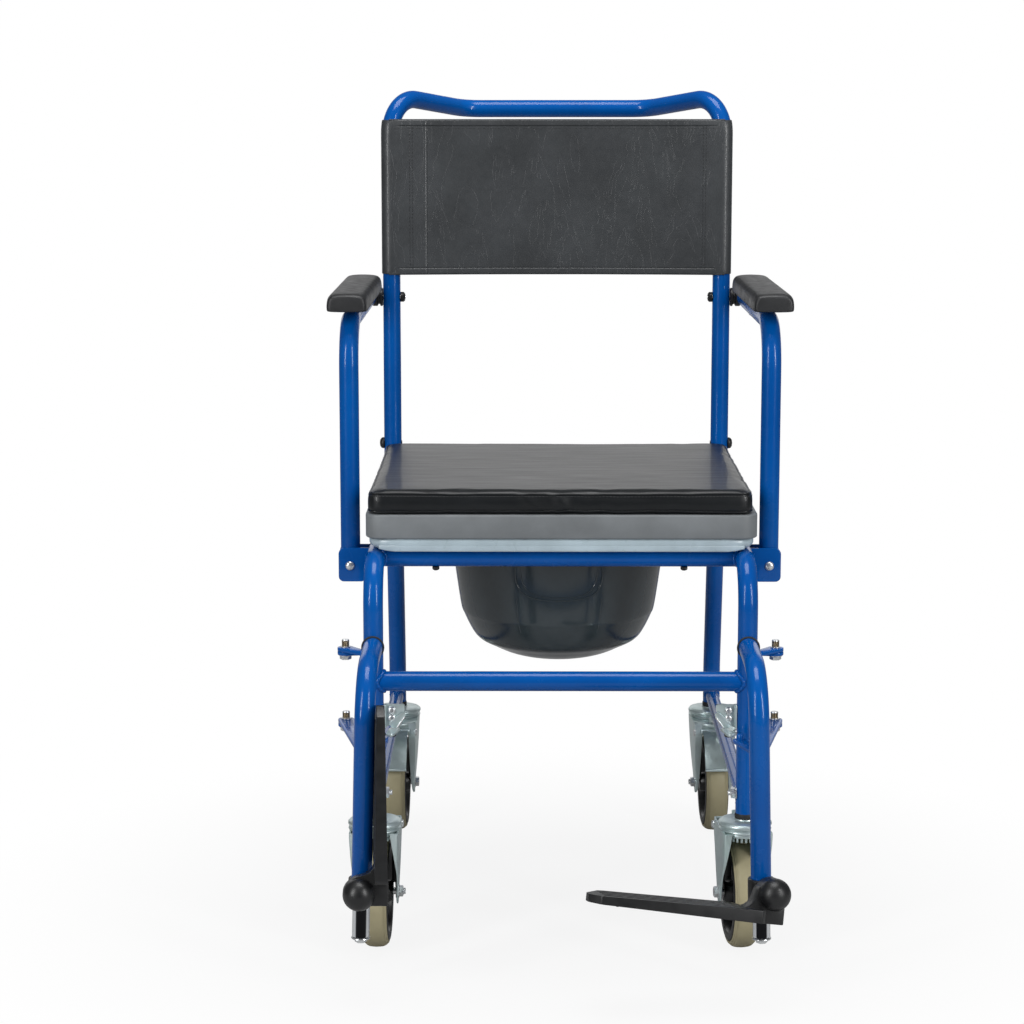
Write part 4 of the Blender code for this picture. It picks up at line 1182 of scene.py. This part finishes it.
def footplate(name, side, place):
    """The tread with its ribs and root box, the hollowed gusset and the round boss."""
    knob = [(0.0, -0.0203), (0.0043, -0.0200), (0.0160, -0.0200), (0.0169, -0.0210), (0.0170, -0.0400)]
    for step in range(21):
        angle = math.radians(-14 + 104 * step / 20)
        knob.append((0.0175 * math.cos(angle) * (step < 20), -0.045 - 0.0175 * math.sin(angle)))
    axis = place @ Matrix.Rotation(math.radians(-90), 4, "X")
    shapes = [turned(knob, axis, 64), tread(side, place), gusset(side, place)]
    for row in range(4):
        y = -0.0560 + row * 0.0150
        shapes.append(block((side * -0.186, y, -0.0162), (side * -0.044, y + 0.0030, -0.0154), 0.0003, 2, place))
    for row in range(5):
        x = side * (-0.060 - row * 0.028)
        shapes.append(block((x - 0.0012, -0.062, -0.0262), (x + 0.0012, 0.000, -0.0238), 0.0003, 1, place))
    parts = [(shape, PLASTIC) for shape in shapes]
    piece("foot_tread_" + name, "plate_" + name, parts, ["footplate_" + name], 35)


def tread(side, place):
    """The foot's plate: 14 mm deep at the root, 8.4 mm at the tip."""
    outline = rounded(
        [
            (-0.194, -0.020), (-0.184, 0.000), (-0.177, 0.004), (-0.038, 0.004), (-0.033, 0.000), (-0.030, -0.018),
            (-0.012, -0.020), (-0.012, -0.062), (-0.016, -0.066), (-0.190, -0.066), (-0.202, -0.052), (-0.202, -0.036),
        ],
        [0.006, 0.003, 0.003, 0.002, 0.002, 0.003, 0.001, 0.002, 0.002, 0.003, 0.004, 0.005], 4,
    )
    top = -0.0160
    shape = bmesh.new()
    upper = []
    lower = []
    for x, y in outline:
        share = max(0.0, min(1.0, (x + 0.202) / 0.142))
        upper.append(shape.verts.new((side * x, y, top)))
        lower.append(shape.verts.new((side * x, y, top - 0.0084 - 0.0056 * share)))
    face = shape.faces.new(upper)
    bottom = shape.faces.new(lower[::-1])
    join_rings(shape, [lower, upper])
    rims = list(face.edges) + list(bottom.edges)
    bmesh.ops.bevel(shape, geom=rims, offset=0.0009, segments=3, profile=0.5, affect="EDGES")
    bmesh.ops.transform(shape, matrix=place, verts=shape.verts)
    return shape


def gusset(side, place):
    """The root box under the boss, with the hollow that sweeps up from the tread."""
    points = [
        (0.0120, -0.0050), (0.0120, -0.0315), (-0.0115, -0.0315), (-0.0360, -0.0255), (-0.0360, -0.0162),
        (-0.0315, -0.0158), (-0.0275, -0.0142), (-0.0240, -0.0112), (-0.0216, -0.0070), (-0.0200, -0.0020),
        (-0.0188, 0.0030), (-0.0172, 0.0062), (-0.0140, 0.0085), (-0.0090, 0.0080), (0.0, 0.0060),
    ]
    radii = [0.001, 0.0012, 0.001, 0.002, 0.0015] + [0.0] * 7 + [0.002, 0.0, 0.0]
    outline = [(side * x, z) for x, z in rounded(points, radii, 3)]
    return plate(outline, 0.0250, place @ moved(0, -0.0215, 0) @ UPRIGHT, 0.0009)


# ---------------------------------------------------------------- casters
CHEEK = (                  # height, front Y, rear Y, outer X, depth of the front and of the rear flange
    (0.1475, -0.0262, 0.0500, 0.0276, 0.0090, 0.0100), (0.1400, -0.0258, 0.0535, 0.0276, 0.0080, 0.0100),
    (0.1300, -0.0245, 0.0560, 0.0272, 0.0062, 0.0098), (0.1100, -0.0170, 0.0505, 0.0266, 0.0032, 0.0090),
    (0.0900, -0.0020, 0.0460, 0.0258, 0.0014, 0.0076), (0.0700, 0.0120, 0.0440, 0.0246, 0.0012, 0.0052),
    (0.0560, 0.0200, 0.0410, 0.0240, 0.0012, 0.0032), (0.0500, 0.0262, 0.0358, 0.0240, 0.0012, 0.0020),
)
PAINTED_SHADE_STRIP = (                  # a dark strip inside the rear flange of a fork, painted shade for the shaded gap between wheel and cheek: Y and height
    (0.0515, 0.1390), (0.0475, 0.1300), (0.0450, 0.1100), (0.0410, 0.0900), (0.0395, 0.0720),
    (0.0365, 0.0720), (0.0380, 0.0900), (0.0420, 0.1100), (0.0445, 0.1300), (0.0475, 0.1390),
)


def cheek(place, way):
    """One pressed side of a fork: bowed, with its front edge folded in towards the wheel."""
    shape = bmesh.new()
    rings = []
    for z, front, rear, out, fold, back in smooth_line([Vector(level) for level in CHEEK], 34):
        bend = min(0.0030, fold)
        line = [(out - fold - 0.0001, front, 0, -1)]
        for step in range(5):
            turn = math.radians(-90 + 90 * step / 4)
            ahead, side = math.cos(turn), math.sin(turn)
            line.append((out - bend + bend * ahead, front + bend + bend * side, ahead, side))
        span = rear - front - bend
        line += [(out, front + bend + span * share, 1, 0) for share in (0.3, 0.6, 0.9)]
        line += [(out - 0.0010, rear - 0.0003, 0.7, 0.7), (out - back * 0.6, rear, 0, 1), (out - back, rear, 0, 1)]
        ring = [(x, y) for x, y, _, _ in line]
        ring += [(x - 0.0018 * a, y - 0.0018 * b) for x, y, a, b in reversed(line)]
        rings.append([shape.verts.new(place @ Vector((way * x, y, z))) for x, y in ring])
    join_rings(shape, rings)
    shape.faces.new(rings[0][::-1])
    shape.faces.new(rings[-1])
    return shape


def fork(name, place):
    """The turned head, the plate and toothed ring under it, both cheeks, the axle and the small bolts."""
    head = [
        (0, 0.2030), (0.0057, 0.2030), (0.0057, 0.1610), (0.0120, 0.1598), (0.0125, 0.1588), (0.0245, 0.1582),
        (0.0285, 0.1572), (0.0300, 0.1556), (0.0302, 0.1538), (0.0295, 0.1524), (0.0278, 0.1516), (0.0278, 0.1506),
        (0.0292, 0.1498), (0.0298, 0.1484), (0.0292, 0.1470), (0.0270, 0.1458), (0, 0.1450),
    ]
    crown = hull([(0.0, 0.0, 0.0280), (0.0, 0.0270, 0.0272)], 18)
    parts = [(turned(head, place, 56), ZINC), (plate(crown, 0.0044, place @ moved(z=0.1424), 0.0012), ZINC)]
    parts += [(cheek(place, way), ZINC) for way in (-1, 1)]
    # dark plastic strips in both cheeks' rear flanges: painted shade for the gap between wheel and fork
    parts += [(plate(PAINTED_SHADE_STRIP, 0.0070, place @ moved(start) @ FACE_X, 0.0003), PLASTIC) for start in (-0.0232, 0.0162)]
    parts.append((block((-0.0258, 0.0470, 0.1325), (0.0258, 0.0490, 0.1470), 0.0009, 2, place), ZINC))
    for step in range(30):
        tooth = place @ Matrix.Rotation(math.tau * step / 30, 4, "Z")
        parts.append((block((0.0222, -0.0012, 0.1368), (0.0246, 0.0012, 0.1430), 0.0004, 1, tooth), ZINC))
    axle = place @ moved(0, TRAIL, WHEEL_R)
    for way in (1, -1):
        out = axle @ toward((way, 0, 0))
        parts += [(disc(out, 0.0078, 0.0212, 0.0250), STEEL), (hexagon(out @ moved(z=0.0250), 0.0066, 0.0046), STEEL)]
    parts.append((thread(axle @ toward((1, 0, 0)), 0.0038, 0.0290, 0.0318), STEEL))
    parts.append((rod(axle @ Vector((-0.0235, 0, 0)), axle @ Vector((0.0235, 0, 0)), 0.0040), STEEL))
    rivet = [(0, 0.0250), (0.0046, 0.0262), (0.0044, 0.0284), (0.0026, 0.0292), (0, 0.0294)]
    for way in (1, -1):
        parts.append((turned(rivet, place @ moved(*PEDAL_AXIS) @ toward((way, 0, 0)), 24), STEEL))
    parts.append((block((-0.0075, 0.0440, 0.1440), (0.0075, 0.0470, 0.1560), 0.0010, 2, place), ZINC))
    parts.append((hexagon(place @ moved(0, 0.0470, 0.1500) @ toward((0, 1, 0)), 0.0048, 0.0044), STEEL))
    piece("fork_" + name, "caster_" + name, parts, ["caster_fork_" + name])


def wheel(name, place):
    """Black rim with spokes and deep flanks, and the khaki tyre."""
    rim = [
        (0.0465, -0.0142), (0.0500, -0.0142), (0.0500, 0.0142), (0.0465, 0.0142), (0.0452, 0.0120), (0.0440, 0.0062),
        (0.0440, -0.0062), (0.0452, -0.0120),
    ]
    hub = [
        (0.0043, -0.0180), (0.0105, -0.0180), (0.0120, -0.0165), (0.0135, -0.0070), (0.0135, 0.0070),
        (0.0120, 0.0165), (0.0105, 0.0180), (0.0043, 0.0180),
    ]
    web = [(0.0120, -0.0018), (0.0450, -0.0018), (0.0450, 0.0018), (0.0120, 0.0018)]
    flank = [(0.0480, 0.0118), (0.0480, 0.0146), (0.0548, 0.0150), (0.0558, 0.0144), (0.0558, 0.0118)]
    shapes = [turned(rim, place, 72), turned(hub, place, 40), turned(web, place, 72)]
    shapes += [turned([(radius, way * across) for radius, across in flank], place, 72) for way in (-1, 1)]
    for step in range(6):
        spoke = place @ Matrix.Rotation(math.tau * step / 6, 4, "Z")
        shapes.append(block((0.0110, -0.0034, -0.0070), (0.0460, 0.0034, 0.0070), 0.0010, 2, spoke))
    parts = [(shape, RIM_BLACK) for shape in shapes]
    piece("rim_" + name, "wheel_" + name, parts, ["caster_wheel_" + name])
    half = [
        (0.0502, 0.0112), (0.0559, 0.0112), (0.0563, 0.0134), (0.0572, 0.0140), (0.0586, 0.0138), (0.0594, 0.0131),
        (0.0594, 0.0127), (0.0600, 0.0124), (0.0611, 0.0112), (0.0610, 0.0108), (0.0618, 0.0103), (0.0628, 0.0078),
        (0.0633, 0.0040),
    ]
    section = half + [(WHEEL_R, 0.0)] + [(radius, -across) for radius, across in reversed(half)]
    tyre = turned(section, place, 96)
    for way in (-1, 1):
        mark = place @ Matrix.Rotation(math.radians(90), 4, "Z") @ moved(0.0632, way * 0.0110, 0)
        merge(tyre, block((-0.0010, -0.0080, -0.0034), (0.0001, 0.0080, 0.0034), 0.0003, 2, mark))
    piece("tyre_" + name, "wheel_" + name, [(tyre, TYRE)], ["caster_tyre_" + name], 50)


def pedal(name, place):
    """The pressed brake pedal, dished across, with its rolled lip and the rod that it turns on."""
    bends = ((0.0520, 0.1385), (0.0600, 0.1392), (0.0740, 0.1300), (0.0880, 0.1105), (0.0960, 0.0955))
    line = smooth_line([Vector((0, y, z)) for y, z in bends], 18)
    half = 0.0165
    shape = bmesh.new()
    grid = []
    for index, point in enumerate(line):
        way = (line[min(index + 1, len(line) - 1)] - line[max(index - 1, 0)]).normalized()
        out = Vector((0, way.z, -way.y))
        bulge = 0.0016 * math.sin(math.pi * index / (len(line) - 1))
        grid.append([
            shape.verts.new(place @ (point + Vector((share * half, 0, 0)) + out * bulge * (1 - share ** 2)))
            for share in (-1, -0.8, -0.35, 0, 0.35, 0.8, 1)
        ])
    join_rings(shape, grid, False)
    bmesh.ops.solidify(shape, geom=shape.faces[:], thickness=0.0018)
    parts = [
        (shape, ZINC),
        (sweep([place @ Vector((x, 0.0958, 0.0958)) for x in (-half, half)], 0.0017, 14), ZINC),
        (rod(*(place @ (Vector(PEDAL_AXIS) + Vector((x, 0, 0))) for x in (-0.0187, 0.0187)), 0.0042), ZINC),
    ]
    piece("pedal_" + name, "pedal_" + name, parts, ["caster_pedal_" + name], 40)


# ---------------------------------------------------------------- studio
def floor():
    """A pale floor that glows white to the camera, a little less right under the chair."""
    look = Look("floor_white", specular=0.0)
    look.shader.inputs["Base Color"].default_value = (0.50, 0.50, 0.50, 1.0)
    look.shader.inputs["Roughness"].default_value = 0.9
    glow = look.node("ShaderNodeEmission", {"Color": (1, 1, 1, 1), "Strength": 1.0})
    paths = look.node("ShaderNodeLightPath").outputs
    rays = {0: paths["Is Camera Ray"], 1: paths["Is Transmission Ray"]}
    seen = look.node("ShaderNodeMath", rays, operation="MAXIMUM")
    reach = look.node("ShaderNodeVectorMath", {0: look.coords}, operation="LENGTH").outputs["Value"]
    fade = look.node(
        "ShaderNodeMapRange", {"From Min": 0.20, "From Max": 0.80, "To Min": 0.88, "To Max": 1.0, "Value": reach},
        interpolation_type="SMOOTHSTEP",
    )
    share = look.node("ShaderNodeMath", {0: seen.outputs[0], 1: fade.outputs["Result"]}, operation="MULTIPLY")
    mix = look.node("ShaderNodeMixShader", {"Fac": share.outputs[0], 1: look.shader.outputs[0], 2: glow.outputs[0]})
    look.tree.links.new(mix.outputs[0], look.tree.nodes["Material Output"].inputs["Surface"])
    shape = bmesh.new()
    bmesh.ops.create_grid(shape, x_segments=1, y_segments=1, size=14.0)
    mesh = bpy.data.meshes.new("floor")
    shape.to_mesh(mesh)
    shape.free()
    mesh.materials.append(look.material)
    place_object("floor", mesh)


def world():
    made = bpy.data.worlds.new("studio")
    bpy.context.scene.world = made
    made.use_nodes = True
    tree = made.node_tree
    white = (1.0, 1.0, 1.0, 1.0)
    soft = tree.nodes["Background"]
    soft.inputs["Color"].default_value = white
    soft.inputs["Strength"].default_value = 0.13
    bright = node(tree, "ShaderNodeBackground", {"Color": white, "Strength": 1.0})
    seen = node(tree, "ShaderNodeLightPath").outputs["Is Camera Ray"]
    mix = node(tree, "ShaderNodeMixShader", {"Fac": seen, 1: soft.outputs[0], 2: bright.outputs[0]})
    tree.links.new(mix.outputs[0], tree.nodes["World Output"].inputs["Surface"])


def lamps():
    for name, place, aim, width, height, power in (
        ("key_left", (-1.9, -2.0, 1.5), (0, 0, 0.5), 0.35, 2.0, 46.0),
        ("key_right", (1.9, -2.0, 1.5), (0, 0, 0.5), 0.35, 2.0, 46.0),
        ("top", (0.0, -0.2, 2.8), (0, 0, 0.4), 1.4, 1.2, 40.0),
        ("back", (0.0, 3.0, 1.15), (0, 0, 0.9), 4.0, 1.6, 17.0),
    ):
        lamp = bpy.data.lights.new(name, "AREA")
        lamp.shape = "RECTANGLE"
        lamp.size = width
        lamp.size_y = height
        lamp.energy = power
        obj = place_object(name, lamp)
        obj.location = place
        obj.rotation_euler = (Vector(aim) - Vector(place)).to_track_quat("-Z", "Y").to_euler()


def camera():
    """The photograph's view: 91.1 mm lens, 9.3 degrees down, a little off the middle."""
    pitch = 0.161508
    yaw = -0.004967
    focal_pixels = 2592.3
    picture_pixels = 1024.0
    ahead = Vector((math.sin(yaw), math.cos(yaw), 0.0))
    right = Vector((math.cos(yaw), -math.sin(yaw), 0.0))
    above = Vector((0.0, 0.0, 1.0))
    forward = ahead * math.cos(pitch) - above * math.sin(pitch)
    top = ahead * math.sin(pitch) + above * math.cos(pitch)
    data = bpy.data.cameras.new("camera")
    data.sensor_width = 36.0
    data.lens = focal_pixels / picture_pixels * data.sensor_width
    data.clip_end = 60.0
    obj = place_object("camera", data)
    columns = [right, top, -forward, Vector((-0.0400, -3.0946 + MIDDLE_Y, 0.9708))]
    obj.matrix_world = Matrix([[column[row] for column in columns] for row in range(3)] + [[0.0, 0.0, 0.0, 1.0]])
    bpy.context.scene.camera = obj


def on_both_sides(*makers):
    for name, side in SIDES:
        for make in makers:
            make(name, side)


def build():
    on_both_sides(side_frame, leg_bolts)
    cross_tubes()
    lower_rails()
    back_frame()
    back_bolts()
    commode_seat()
    seat_board()
    seat_cushion()
    backrest()
    bucket()
    bucket_rails()
    on_both_sides(arm_tube, arm_pin, arm_pad, arm_hold)
    for make in (hinge_bolts, hanger, latch):
        on_both_sides(make)
    for name, side, turn, flip in FEET:
        foot(name, side, turn, flip)
    for name, side, y, way, turn in CASTERS:
        place = spot(side * SIDE_X, y, 0) @ Matrix.Rotation(math.radians(way + turn), 4, "Z")
        fork(name, place)
        wheel(name, place @ moved(0, TRAIL, WHEEL_R) @ toward((1, 0, 0)))
        pedal(name, place)
    floor()
    world()
    lamps()
    camera()
    bpy.context.scene.view_settings.view_transform = "Standard"


build()
